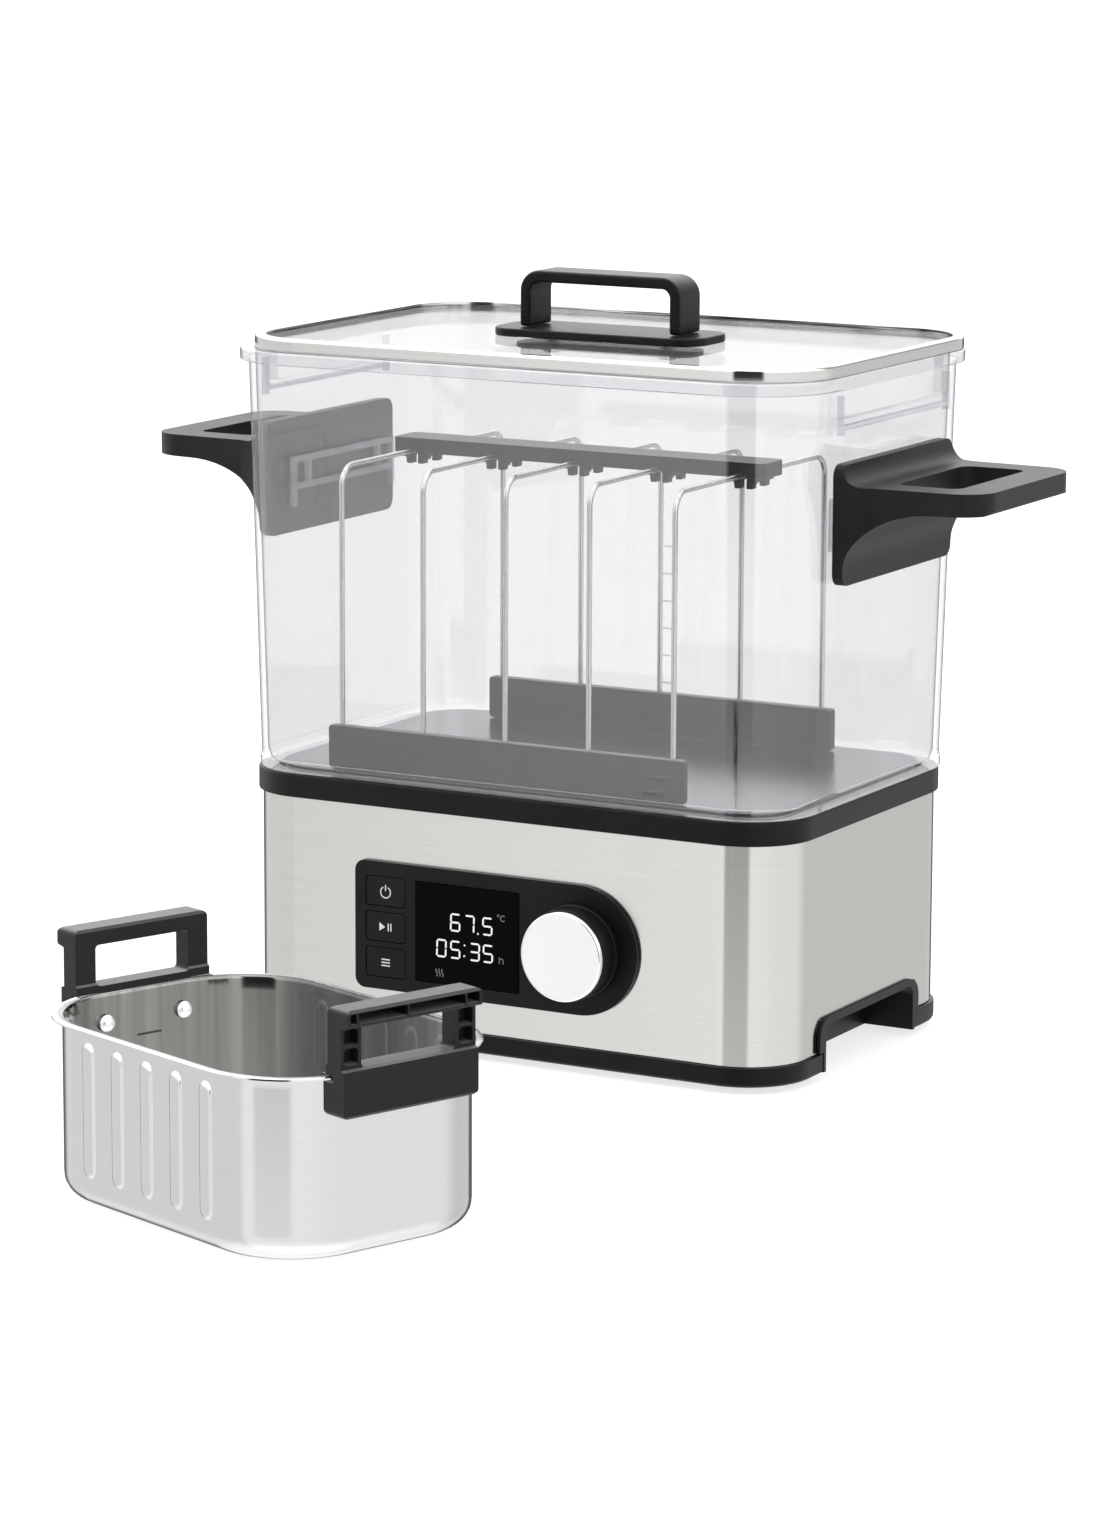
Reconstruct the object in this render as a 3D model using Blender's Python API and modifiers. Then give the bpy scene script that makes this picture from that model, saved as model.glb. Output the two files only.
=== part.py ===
"""Sous vide water-bath cooker with a lift-off tank, glass lid, pouch rack and insert pan.

Metres, +Z up, the control panel faces -Y, everything stands on Z = 0. The origin is the centre of
the whole set on the counter. The cooker and the insert pan each have their own frame (an empty), and
so has every piece that moves.
"""

import math

import bmesh
import bpy
from mathutils import Matrix

# Placement of the two groups on the counter
COOKER_AT = (-0.0008, 0.16435, 0.0)
PAN_AT = (0.0345, -0.18695, 0.0)
PAN_YAW = math.radians(-21.0)
TANK_SHIFT = 0.0008
LID_SHIFT = 0.0035
RACK_AT = (-0.0055, -0.0060)

# Heating base
BASE_HALF_X = 0.1400
BASE_HALF_Y = 0.0925
BASE_RADIUS = 0.0300
TRAY_BOTTOM = 0.0030
TRAY_TOP = 0.0122
SLEEVE_BOTTOM = 0.0125
SLEEVE_TOP = 0.1126
SLEEVE_WALL = 0.0010
COLLAR_BOTTOM = 0.1129
COLLAR_TOP = 0.1240
DECK_TOP = 0.1185
GAP = 0.0003

# Side grip recess
GRIP_HALF = 0.0480
GRIP_TOP = 0.0270
GRIP_DEPTH = 0.0250
GRIP_WALL = 0.0022

# Control panel
PANEL_BACK = -0.0928
PANEL_FACE = -0.0948
PANEL_LEFT = -0.0760
PANEL_LOW = 0.0276
PANEL_HIGH = 0.0876
KNOB_X = 0.0410
KNOB_Z = 0.0576
KNOB_RADIUS = 0.0211
KNOB_FACE = -0.1116
BUTTON_X = -0.0598
BUTTON_Z = (0.0737, 0.0571, 0.0404)
BUTTON_SIZE = (0.0206, 0.0136)
WINDOW_X = (-0.0436, 0.0103)
WINDOW_Z = (0.0340, 0.0804)

# Tank
TANK_SEAT = 0.1243
TANK_WALL_LOW = 0.1297
TANK_RIM_LOW = 0.3135
TANK_RIM_TOP = 0.3192
FLOOR_TOP = 0.1262
POCKET_HALF = 0.0545
HANDLE_PLATE_X = (0.1460, 0.1510)
HANDLE_PLATE_Z = (0.2265, 0.2806)
HANDLE_END = 0.2155
HANDLE_TOP = 0.2709

# Lid
LID_BOTTOM = 0.3195
LID_TOP = 0.3254
GLASS_LOW = 0.3199
GLASS_TOP = 0.3229
STRAP_HALF = 0.0415
STRAP_TOP = 0.3533
STRAP_THICK = 0.0054
STRAP_DEPTH = 0.0107

# Pouch rack
WIRE_RADIUS = 0.00125
WIRE_PITCH = 0.0430
WIRE_HALF_SPAN = 0.0750
WIRE_TOP = 0.2665
WIRE_BEND = 0.0095
RAIL_HALF = 0.0920
RAIL_TOP = 0.1466
BAR_LOW = 0.2655
BAR_TOP = 0.2725
BAR_HALF = 0.0970

# Insert pan
PAN_HALF_X = 0.0855
PAN_HALF_Y = 0.0604
PAN_RADIUS = 0.0400
PAN_HEIGHT = 0.0770
PAN_WALL = 0.0010
PAN_LIP = 0.0050
PAN_FILLET = 0.0100
RIB_COUNT = 5
RIB_PITCH = 0.0200
RIB_START = -0.0393
RIB_HALF = 0.0044
RIB_RISE = 0.0013
RIB_Z = (0.0135, 0.0705)
PAN_HANDLE_HALF = 0.0341
RIVET_Y = 0.0200
RIVET_Z = 0.0645

CORNER_STEPS = 8
ROUND_STEPS = 32

COLOURS = {
    "black_plastic": ((0.018, 0.018, 0.020, 1.0), 0.0, 0.42),
    "charcoal_plastic": ((0.032, 0.034, 0.036, 1.0), 0.0, 0.55),
    "gloss_black": ((0.008, 0.008, 0.010, 1.0), 0.0, 0.10),
    "brushed_steel": ((0.62, 0.61, 0.59, 1.0), 1.0, 0.30),
    "polished_steel": ((0.72, 0.72, 0.72, 1.0), 1.0, 0.12),
    "chrome": ((0.85, 0.85, 0.86, 1.0), 1.0, 0.05),
    "clear_plastic": ((0.90, 0.91, 0.94, 0.30), 0.0, 0.05),
    "clear_glass": ((0.90, 0.93, 0.93, 0.30), 0.0, 0.03),
    "aluminium": ((0.66, 0.67, 0.68, 1.0), 1.0, 0.45),
    "rubber": ((0.030, 0.030, 0.031, 1.0), 0.0, 0.85),
    "silicone": ((0.55, 0.56, 0.58, 1.0), 0.0, 0.60),
    "circuit_board": ((0.030, 0.110, 0.060, 1.0), 0.0, 0.50),
}

COLLECTIONS = {}
FRAMES = {}


# Scene helpers


def clear_scene():
    for obj in list(bpy.data.objects):
        bpy.data.objects.remove(obj, do_unlink=True)


def make_collections():
    scene_root = bpy.context.scene.collection
    for key, title in (("parts", "water_bath_cooker"), ("cutters", "cutters")):
        collection = bpy.data.collections.new(title)
        scene_root.children.link(collection)
        COLLECTIONS[key] = collection


def make_frame(name, location, parent=None, yaw=0.0):
    """An empty that carries one group; it sits on the joint axis where the group turns."""
    frame = bpy.data.objects.new(name, None)
    frame.empty_display_size = 0.02
    frame.location = location
    frame.rotation_euler = (0.0, 0.0, yaw)
    frame.parent = FRAMES.get(parent)
    COLLECTIONS["parts"].objects.link(frame)
    FRAMES[name] = frame
    return frame


def material_for(obj, finish):
    colour, metallic, roughness = COLOURS[finish]
    material = bpy.data.materials.new(obj.name + "_" + finish)
    material.use_nodes = True
    shader = material.node_tree.nodes["Principled BSDF"]
    shader.inputs["Base Color"].default_value = colour
    shader.inputs["Metallic"].default_value = metallic
    shader.inputs["Roughness"].default_value = roughness
    shader.inputs["Alpha"].default_value = colour[3]
    material.diffuse_color = colour
    obj.data.materials.append(material)


def add_object(name, mesh, frame, finish):
    obj = bpy.data.objects.new(name, mesh)
    obj.parent = FRAMES[frame]
    COLLECTIONS["parts"].objects.link(obj)
    material_for(obj, finish)
    return obj


def add_cutter(name, mesh, frame):
    obj = bpy.data.objects.new(name, mesh)
    obj.parent = FRAMES[frame]
    obj.hide_render = True
    obj.display_type = "WIRE"
    COLLECTIONS["cutters"].objects.link(obj)
    return obj


def boolean(target, tool, operation="DIFFERENCE"):
    modifier = target.modifiers.new(operation.lower() + "_" + tool.name, "BOOLEAN")
    modifier.operation = operation
    modifier.solver = "EXACT"
    modifier.object = tool


def soften(obj, width, segments=2, angle=35.0):
    modifier = obj.modifiers.new("soft_edges", "BEVEL")
    modifier.width = width
    modifier.segments = segments
    modifier.limit_method = "ANGLE"
    modifier.angle_limit = math.radians(angle)
    modifier.use_clamp_overlap = True


# Mesh builders


def mesh_from(name, vertices, faces):
    mesh = bpy.data.meshes.new(name)
    mesh.from_pydata(vertices, [], faces)
    shape = bmesh.new()
    shape.from_mesh(mesh)
    bmesh.ops.remove_doubles(shape, verts=shape.verts, dist=1e-7)
    bmesh.ops.recalc_face_normals(shape, faces=shape.faces)
    shape.to_mesh(mesh)
    shape.free()
    return mesh


def loft(name, rings, closed=False):
    """Skin through unlike sections; closed joins last to first, otherwise both ends are capped."""
    count = len(rings[0])
    vertices = [point for ring in rings for point in ring]
    spans = len(rings) if closed else len(rings) - 1
    faces = []
    for span in range(spans):
        low = span * count
        high = ((span + 1) % len(rings)) * count
        for i in range(count):
            j = (i + 1) % count
            faces.append((low + i, low + j, high + j, high + i))
    if not closed:
        faces.append(tuple(reversed(range(count))))
        faces.append(tuple(range((len(rings) - 1) * count, len(rings) * count)))
    return mesh_from(name, vertices, faces)


def rounded_rect(half_x, half_y, radius, z, steps=CORNER_STEPS, centre=(0.0, 0.0)):
    """Ring of a rounded rectangle in a level plane, counter-clockwise from above."""
    ring = []
    for sign_x, sign_y, start in ((1, 1, 0), (-1, 1, 90), (-1, -1, 180), (1, -1, 270)):
        for step in range(steps + 1):
            angle = math.radians(start + 90.0 * step / steps)
            x = centre[0] + sign_x * (half_x - radius) + radius * math.cos(angle)
            y = centre[1] + sign_y * (half_y - radius) + radius * math.sin(angle)
            ring.append((x, y, z))
    return ring


def base_ring(offset, z):
    """Rounded rectangle set outwards or inwards from the sleeve's outline."""
    return rounded_rect(BASE_HALF_X + offset, BASE_HALF_Y + offset, BASE_RADIUS + offset, z)


def rectangle(low, high, radius, steps=4):
    """Rounded rectangle outline between two corners, as plane coordinates."""
    centre = ((low[0] + high[0]) / 2, (low[1] + high[1]) / 2)
    half = ((high[0] - low[0]) / 2, (high[1] - low[1]) / 2)
    return [point[:2] for point in rounded_rect(half[0], half[1], radius, 0.0, steps, centre)]


def circle(centre, radius, steps=ROUND_STEPS):
    turn = 2 * math.pi / steps
    return [
        (centre[0] + radius * math.cos(i * turn), centre[1] + radius * math.sin(i * turn))
        for i in range(steps)
    ]


def finished_mesh(guide, place):
    """Mesh of a drawn outline or a swept section, welded, with flat caps, and set in its place."""
    COLLECTIONS["cutters"].objects.link(guide)
    graph = bpy.context.evaluated_depsgraph_get()
    mesh = bpy.data.meshes.new_from_object(guide.evaluated_get(graph))
    mesh.name = guide.name
    bpy.data.objects.remove(guide, do_unlink=True)
    shape = bmesh.new()
    shape.from_mesh(mesh)
    bmesh.ops.remove_doubles(shape, verts=shape.verts, dist=2e-6)
    bmesh.ops.dissolve_limit(
        shape, angle_limit=math.radians(0.5), verts=shape.verts, edges=shape.edges
    )
    bmesh.ops.transform(shape, matrix=place, verts=shape.verts)
    bmesh.ops.recalc_face_normals(shape, faces=shape.faces)
    shape.to_mesh(mesh)
    shape.free()
    return mesh


def prism(name, outline, axis, start, end, hole=None):
    """Filled outline with thickness along one axis: X takes (y, z), Y takes (x, z), Z takes (x, y)."""
    curve = bpy.data.curves.new(name, "CURVE")
    curve.dimensions = "2D"
    curve.fill_mode = "BOTH"
    curve.extrude = (end - start) / 2
    for points in filter(None, (outline, hole)):
        spline = curve.splines.new("POLY")
        spline.points.add(len(points) - 1)
        for corner, (u, v) in zip(spline.points, points):
            corner.co = (u, v, 0.0, 1.0)
        spline.use_cyclic_u = True
    middle = (start + end) / 2
    place = {
        "X": Matrix(((0, 0, 1, middle), (1, 0, 0, 0), (0, 1, 0, 0), (0, 0, 0, 1))),
        "Y": Matrix(((1, 0, 0, 0), (0, 0, -1, middle), (0, 1, 0, 0), (0, 0, 0, 1))),
        "Z": Matrix.Translation((0, 0, middle)),
    }[axis]
    return finished_mesh(bpy.data.objects.new(name, curve), place)


def box(name, x, y, z):
    shape = bmesh.new()
    bmesh.ops.create_cube(shape, size=1.0)
    bmesh.ops.scale(shape, vec=(x[1] - x[0], y[1] - y[0], z[1] - z[0]), verts=shape.verts)
    middle = ((x[0] + x[1]) / 2, (y[0] + y[1]) / 2, (z[0] + z[1]) / 2)
    bmesh.ops.translate(shape, vec=middle, verts=shape.verts)
    mesh = bpy.data.meshes.new(name)
    shape.to_mesh(mesh)
    shape.free()
    return mesh


def lathe(name, profile, centre, axis="Z", steps=ROUND_STEPS):
    """Turned solid: a half section of (radius, height) pairs, closed on the axis, swept round."""
    section = [(0.0, profile[0][1]), *profile, (0.0, profile[-1][1])]
    points = [(radius, 0.0, height) for radius, height in section]
    mesh = bpy.data.meshes.new(name)
    mesh.from_pydata(points, [(i, i + 1) for i in range(len(points) - 1)], [])
    guide = bpy.data.objects.new(name, mesh)
    sweep = guide.modifiers.new("turned", "SCREW")
    sweep.steps = steps
    sweep.render_steps = steps
    sweep.use_merge_vertices = True
    sweep.merge_threshold = 1e-6
    place = {
        "X": Matrix(((0, 0, 1, 0), (1, 0, 0, centre[0]), (0, 1, 0, centre[1]), (0, 0, 0, 1))),
        "Y": Matrix(((1, 0, 0, centre[0]), (0, 0, 1, 0), (0, -1, 0, centre[1]), (0, 0, 0, 1))),
        "Z": Matrix.Translation((centre[0], centre[1], 0.0)),
    }[axis]
    turned = finished_mesh(guide, place)
    turned.shade_smooth()
    turned.set_sharp_from_angle(angle=math.radians(30.0))
    return turned


# Heating base


def build_tray():
    rings = [
        base_ring(0.0000, TRAY_BOTTOM),
        base_ring(0.0014, TRAY_BOTTOM + 0.0014),
        base_ring(0.0016, TRAY_TOP),
        base_ring(-0.0014, TRAY_TOP),
        base_ring(-0.0014, 0.0200),
        base_ring(-0.0034, 0.0200),
        base_ring(-0.0034, 0.0056),
    ]
    tray = add_object("bottom_tray", loft("bottom_tray", rings), "cooker", "black_plastic")
    for side in (-1, 1):
        x = sorted((side * (BASE_HALF_X - GRIP_DEPTH - 0.0009), side * 0.1600))
        reach = GRIP_HALF + 0.0004
        mesh = box("tray_notch", x, (-reach, reach), (-0.0100, 0.0300))
        boolean(tray, add_cutter("tray_notch_" + side_name(side), mesh, "cooker"))


def side_name(side):
    return "right" if side > 0 else "left"


def build_sleeve():
    outer = [point[:2] for point in base_ring(0.0, 0.0)]
    inner = [point[:2] for point in base_ring(-SLEEVE_WALL, 0.0)]
    mesh = prism("steel_sleeve", outer, "Z", SLEEVE_BOTTOM, SLEEVE_TOP, inner)
    sleeve = add_object("steel_sleeve", mesh, "cooker", "brushed_steel")
    window = prism("panel_hole", panel_outline(-0.0030), "Y", -0.1000, -0.0880)
    boolean(sleeve, add_cutter("panel_hole", window, "cooker"))
    reach = GRIP_HALF + 0.0004
    for side in (-1, 1):
        outline = rectangle((-reach, -0.0300), (reach, GRIP_TOP + 0.0004), 0.0005)
        x = sorted((side * 0.1300, side * 0.1500))
        mesh = prism("sleeve_notch", outline, "X", x[0], x[1])
        boolean(sleeve, add_cutter("sleeve_notch_" + side_name(side), mesh, "cooker"))
    hole = box("inlet_hole", (0.0711, 0.0989), (0.0880, 0.0980), (0.0289, 0.0511))
    boolean(sleeve, add_cutter("inlet_hole", hole, "cooker"))


def panel_outline(offset):
    """D shape: square-ish left end, full half circle at the right."""
    corner = 0.0050 + offset
    left = PANEL_LEFT - offset
    low = PANEL_LOW - offset
    high = PANEL_HIGH + offset
    middle = (low + high) / 2
    outline = []
    for i in range(25):
        angle = math.radians(-90 + 180 * i / 24)
        reach = (high - low) / 2
        outline.append((KNOB_X + reach * math.cos(angle), middle + reach * math.sin(angle)))
    for centre_z, start in ((high - corner, 90), (low + corner, 180)):
        for i in range(7):
            angle = math.radians(start + 15 * i)
            x = left + corner + corner * math.cos(angle)
            outline.append((x, centre_z + corner * math.sin(angle)))
    return outline


def build_collar():
    rings = [
        base_ring(0.0016, COLLAR_BOTTOM),
        base_ring(0.0020, COLLAR_BOTTOM + 0.0005),
        base_ring(0.0020, COLLAR_TOP - 0.0008),
        base_ring(0.0012, COLLAR_TOP),
        base_ring(-0.0050, COLLAR_TOP),
        base_ring(-0.0055, COLLAR_TOP - 0.0006),
        base_ring(-0.0055, DECK_TOP),
        base_ring(-0.0195, DECK_TOP),
        base_ring(-0.0195, COLLAR_BOTTOM),
    ]
    add_object("top_collar", loft("top_collar", rings, True), "cooker", "black_plastic")


def build_grips():
    for side in (-1, 1):
        name = "side_grip_" + side_name(side)
        inner = BASE_HALF_X - GRIP_DEPTH
        x = sorted((side * inner, side * (BASE_HALF_X + 0.0019)))
        mesh = box(name, x, (-GRIP_HALF, GRIP_HALF), (0.0034, GRIP_TOP))
        grip = add_object(name, mesh, "cooker", "black_plastic")
        outline = grip_frame_outline()
        x = sorted((side * (BASE_HALF_X + GAP), side * (BASE_HALF_X + 0.0019)))
        frame = add_cutter(name + "_frame", prism("frame", outline, "X", x[0], x[1]), "cooker")
        boolean(grip, frame, "UNION")
        reach = GRIP_HALF - GRIP_WALL
        x = sorted((side * (inner + GRIP_WALL), side * 0.1600))
        outline = rectangle((-reach, -0.0300), (reach, GRIP_TOP - GRIP_WALL), 0.0045)
        hollow = prism("hollow", outline, "X", x[0], x[1])
        boolean(grip, add_cutter(name + "_hollow", hollow, "cooker"))
        for end, y in (("front", (-0.06, -GRIP_HALF - 0.0001)), ("rear", (GRIP_HALF + 0.0001, 0.06))):
            foot = box("frame_foot", x, y, (-0.01, SLEEVE_BOTTOM + 0.0001))
            boolean(grip, add_cutter(name + "_clear_" + end, foot, "cooker"))


def grip_frame_outline():
    """Arch around the side grip: round top corners, legs that run down to the tray."""
    top = GRIP_TOP + 0.0009
    reach = GRIP_HALF + 0.0040
    radius = 0.0090
    outline = [(-reach, 0.0100), (reach, 0.0100)]
    for centre_y, start in ((reach - radius, 0), (-reach + radius, 90)):
        for i in range(7):
            angle = math.radians(start + 15 * i)
            y = centre_y + radius * math.cos(angle)
            outline.append((y, top - radius + radius * math.sin(angle)))
    return outline


def build_feet():
    spots = ((-1, -1), (1, -1), (-1, 1), (1, 1))
    for index, (sign_x, sign_y) in enumerate(spots, 1):
        profile = ((0.0066, 0.0), (0.0076, 0.0007), (0.0080, TRAY_BOTTOM - GAP))
        centre = (sign_x * 0.1120, sign_y * 0.0715)
        name = "foot_%d" % index
        add_object(name, lathe(name, profile, centre, steps=20), "cooker", "rubber")
        profile = ((0.0030, 0.0011), (0.0036, 0.0016), (0.0036, TRAY_BOTTOM - GAP))
        centre = (sign_x * 0.0800, sign_y * 0.0600)
        name = "case_screw_%d" % index
        screw = add_object(name, lathe(name, profile, centre, steps=14), "cooker", "polished_steel")
        low = (centre[0] - 0.0018, centre[1] - 0.0004)
        high = (centre[0] + 0.0018, centre[1] + 0.0004)
        slot = box("slot", (low[0], high[0]), (low[1], high[1]), (0.0, 0.0018))
        boolean(screw, add_cutter(name + "_slot", slot, "cooker"))


def build_heater():
    rings = [
        rounded_rect(0.1195, 0.0725, 0.0100, 0.1150),
        rounded_rect(0.1195, 0.0725, 0.0100, 0.1234),
        rounded_rect(0.1189, 0.0719, 0.0094, 0.1240),
    ]
    add_object("heater_plate", loft("heater_plate", rings), "cooker", "aluminium")
    points = [(-0.0120, -0.0500, 0.0940), (-0.0120, -0.0500, 0.1080)]
    for sign_x, sign_y, start in ((-1, -1, 270), (-1, 1, 180), (1, 1, 90), (1, -1, 0)):
        for i in range(7):
            angle = math.radians(start - 15 * i)
            x = sign_x * 0.0700 + 0.0200 * math.cos(angle)
            points.append((x, sign_y * 0.0320 + 0.0200 * math.sin(angle), 0.1112))
    points += [(0.0120, -0.0500, 0.1080), (0.0120, -0.0500, 0.0940)]
    add_wire("heating_element", points, 0.0033, "cooker", "polished_steel")
    profile = ((0.0040, 0.1020), (0.0040, 0.1080), (0.0090, 0.1084), (0.0090, 0.1147))
    mesh = lathe("temperature_sensor", profile, (0.0, 0.0), steps=20)
    add_object("temperature_sensor", mesh, "cooker", "aluminium")


def add_wire(name, points, radius, frame, finish, resolution=2):
    """Round bar along a poly line, converted to a mesh."""
    curve = bpy.data.curves.new(name, "CURVE")
    curve.dimensions = "3D"
    curve.bevel_depth = radius
    curve.bevel_resolution = resolution
    curve.use_fill_caps = True
    curve.resolution_u = 1
    spline = curve.splines.new("POLY")
    spline.points.add(len(points) - 1)
    for point, place in zip(spline.points, points):
        point.co = (place[0], place[1], place[2], 1.0)
    return add_object(name, curve, frame, finish)


def build_boards():
    mesh = box("control_board", (-0.0720, 0.0600), (-0.0866, -0.0850), (0.0300, 0.0850))
    add_object("control_board", mesh, "cooker", "circuit_board")
    mesh = box("encoder", (KNOB_X - 0.006, KNOB_X + 0.006), (-0.0920, -0.0869), (0.0516, 0.0636))
    encoder = add_object("encoder", mesh, "cooker", "aluminium")
    bore = prism("encoder_bore", circle((KNOB_X, KNOB_Z), 0.00335, 20), "Y", -0.0930, -0.0880)
    boolean(encoder, add_cutter("encoder_bore", bore, "cooker"))
    mesh = box("power_board", (-0.0600, 0.0600), (-0.0300, 0.0450), (0.0300, 0.0316))
    board = add_object("power_board", mesh, "cooker", "circuit_board")
    bits = (
        ("relay", (-0.0500, -0.0320), (-0.0200, 0.0050), (0.0310, 0.0480)),
        ("transformer", (-0.0200, 0.0150), (-0.0150, 0.0250), (0.0310, 0.0560)),
        ("heat_sink", (0.0280, 0.0520), (-0.0200, 0.0350), (0.0310, 0.0510)),
    )
    for name, x, y, z in bits:
        boolean(board, add_cutter(name, box(name, x, y, z), "cooker"), "UNION")


def build_inlet():
    outline = rectangle((0.0695, 0.0270), (0.1005, 0.0530), 0.0025)
    mesh = prism("mains_inlet", outline, "Y", BASE_HALF_Y + GAP, BASE_HALF_Y + 0.0023)
    inlet = add_object("mains_inlet", mesh, "cooker", "black_plastic")
    body = box("inlet_body", (0.0715, 0.0985), (0.0700, 0.0940), (0.0293, 0.0507))
    boolean(inlet, add_cutter("inlet_body", body, "cooker"), "UNION")
    outline = rectangle((0.0735, 0.0312), (0.0965, 0.0488), 0.0020)
    recess = prism("inlet_recess", outline, "Y", 0.0780, 0.0990)
    boolean(inlet, add_cutter("inlet_recess", recess, "cooker"))


# Control panel


def build_bezel():
    face = panel_outline(-0.0006)
    outline = panel_outline(0.0)
    rings = [
        [(x, PANEL_BACK, z) for x, z in outline],
        [(x, PANEL_FACE + 0.0006, z) for x, z in outline],
        [(x, PANEL_FACE, z) for x, z in face],
    ]
    bezel = add_object("front_bezel", loft("front_bezel", rings), "cooker", "black_plastic")
    slack = 0.00035
    outline = rectangle(
        (WINDOW_X[0] - slack, WINDOW_Z[0] - slack), (WINDOW_X[1] + slack, WINDOW_Z[1] + slack), 0.0012
    )
    hole = prism("window_hole", outline, "Y", -0.1000, -0.0900)
    boolean(bezel, add_cutter("window_hole", hole, "cooker"))
    for index, z in enumerate(BUTTON_Z, 1):
        half = (BUTTON_SIZE[0] / 2 + slack, BUTTON_SIZE[1] / 2 + slack)
        outline = rectangle(
            (BUTTON_X - half[0], z - half[1]), (BUTTON_X + half[0], z + half[1]), 0.0018
        )
        hole = prism("button_hole", outline, "Y", -0.1000, -0.0900)
        boolean(bezel, add_cutter("button_hole_%d" % index, hole, "cooker"))
    hole = prism("shaft_hole", circle((KNOB_X, KNOB_Z), 0.0045, 24), "Y", -0.1000, -0.0900)
    boolean(bezel, add_cutter("shaft_hole", hole, "cooker"))
    outline = rectangle((WINDOW_X[0], WINDOW_Z[0]), (WINDOW_X[1], WINDOW_Z[1]), 0.0010)
    mesh = prism("display_window", outline, "Y", PANEL_FACE, PANEL_FACE + 0.0016)
    add_object("display_window", mesh, "cooker", "gloss_black")


def build_buttons():
    for name, z in zip(("power", "start", "menu"), BUTTON_Z):
        half = (BUTTON_SIZE[0] / 2, BUTTON_SIZE[1] / 2)
        rings = []
        for inset, y in ((0.0, 0.0042), (0.0, 0.0004), (0.0004, 0.0)):
            outline = rectangle(
                (-half[0] + inset, -half[1] + inset), (half[0] - inset, half[1] - inset), 0.0014
            )
            rings.append([(u, y, v) for u, v in outline])
        label = "button_" + name
        button = add_object(label, loft(label, rings), "cooker", "black_plastic")
        button.location = (BUTTON_X, PANEL_FACE + 0.0002, z)


def build_knob():
    face = KNOB_FACE - PANEL_FACE
    profile = (
        (0.0196, face),
        (0.0206, face + 0.0003),
        (KNOB_RADIUS, face + 0.0010),
        (KNOB_RADIUS, -0.0042),
        (0.0199, -0.0042),
        (0.0199, face + 0.0012),
    )
    cap = lathe("knob_cap", profile, (0.0, 0.0), "Y", 48)
    add_object("knob_cap", cap, "knob", "chrome")
    profile = (
        (0.0194, face + 0.0015),
        (0.0194, -0.0039),
        (0.0213, -0.0039),
        (0.0216, -0.0034),
        (0.0216, -0.0006),
    )
    mesh = lathe("knob_core", profile, (0.0, 0.0), "Y", 48)
    core = add_object("knob_core", mesh, "knob", "black_plastic")
    bore = prism("knob_bore", circle((0.0, 0.0), 0.0033, 20), "Y", face + 0.0030, 0.0010)
    boolean(core, add_cutter("knob_bore", bore, "knob"))
    profile = ((0.0030, face + 0.0034), (0.0030, 0.0064))
    mesh = lathe("knob_shaft", profile, (0.0, 0.0), "Y", 20)
    add_object("knob_shaft", mesh, "knob", "polished_steel")


# Tank


def build_tank_shell():
    rings = [
        base_ring(0.0016, TANK_SEAT),
        base_ring(0.0020, TANK_SEAT + 0.0005),
        base_ring(0.0020, TANK_WALL_LOW - 0.0008),
        base_ring(0.0013, TANK_WALL_LOW),
        base_ring(0.0063, TANK_RIM_LOW),
        base_ring(0.0100, TANK_RIM_LOW),
        base_ring(0.0103, TANK_RIM_LOW + 0.0005),
        base_ring(0.0103, TANK_RIM_TOP - 0.0006),
        base_ring(0.0097, TANK_RIM_TOP),
        base_ring(0.0040, TANK_RIM_TOP),
        base_ring(0.0033, TANK_RIM_TOP - 0.0008),
        base_ring(-0.0016, TANK_WALL_LOW + 0.0020),
        base_ring(-0.0030, TANK_WALL_LOW - 0.0020),
        base_ring(-0.0062, FLOOR_TOP),
        base_ring(-0.0094, FLOOR_TOP),
        base_ring(-0.0094, 0.1225),
        base_ring(-0.0150, 0.1225),
        base_ring(-0.0150, 0.1195),
        base_ring(-0.0067, 0.1195),
        base_ring(-0.0067, TANK_SEAT),
    ]
    shell = add_object("tank_shell", loft("tank_shell", rings, True), "tank", "clear_plastic")
    for side in (-1, 1):
        x = sorted((side * 0.1432, side * 0.1499))
        outline = rectangle((-POCKET_HALF, 0.2975), (POCKET_HALF, 0.3165), 0.0015)
        mesh = prism("pocket", outline, "X", x[0], x[1])
        boolean(shell, add_cutter("pocket_" + side_name(side), mesh, "tank"), "UNION")
        x = sorted((side * 0.1300, side * 0.1479))
        outline = rectangle((-POCKET_HALF + 0.002, 0.3000), (POCKET_HALF - 0.002, 0.3400), 0.0012)
        mesh = prism("pocket_hollow", outline, "X", x[0], x[1])
        boolean(shell, add_cutter("pocket_hollow_" + side_name(side), mesh, "tank"))


def build_tank_floor():
    rings = [
        base_ring(-0.0097, TANK_SEAT),
        base_ring(-0.0097, FLOOR_TOP - 0.0004),
        base_ring(-0.0101, FLOOR_TOP),
    ]
    add_object("tank_floor_plate", loft("tank_floor_plate", rings), "tank", "brushed_steel")
    rings = [
        base_ring(-0.0100, 0.1228),
        base_ring(-0.0100, 0.1240),
        base_ring(-0.0140, 0.1240),
        base_ring(-0.0140, 0.1228),
    ]
    add_object("tank_seal", loft("tank_seal", rings, True), "tank", "silicone")


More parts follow.
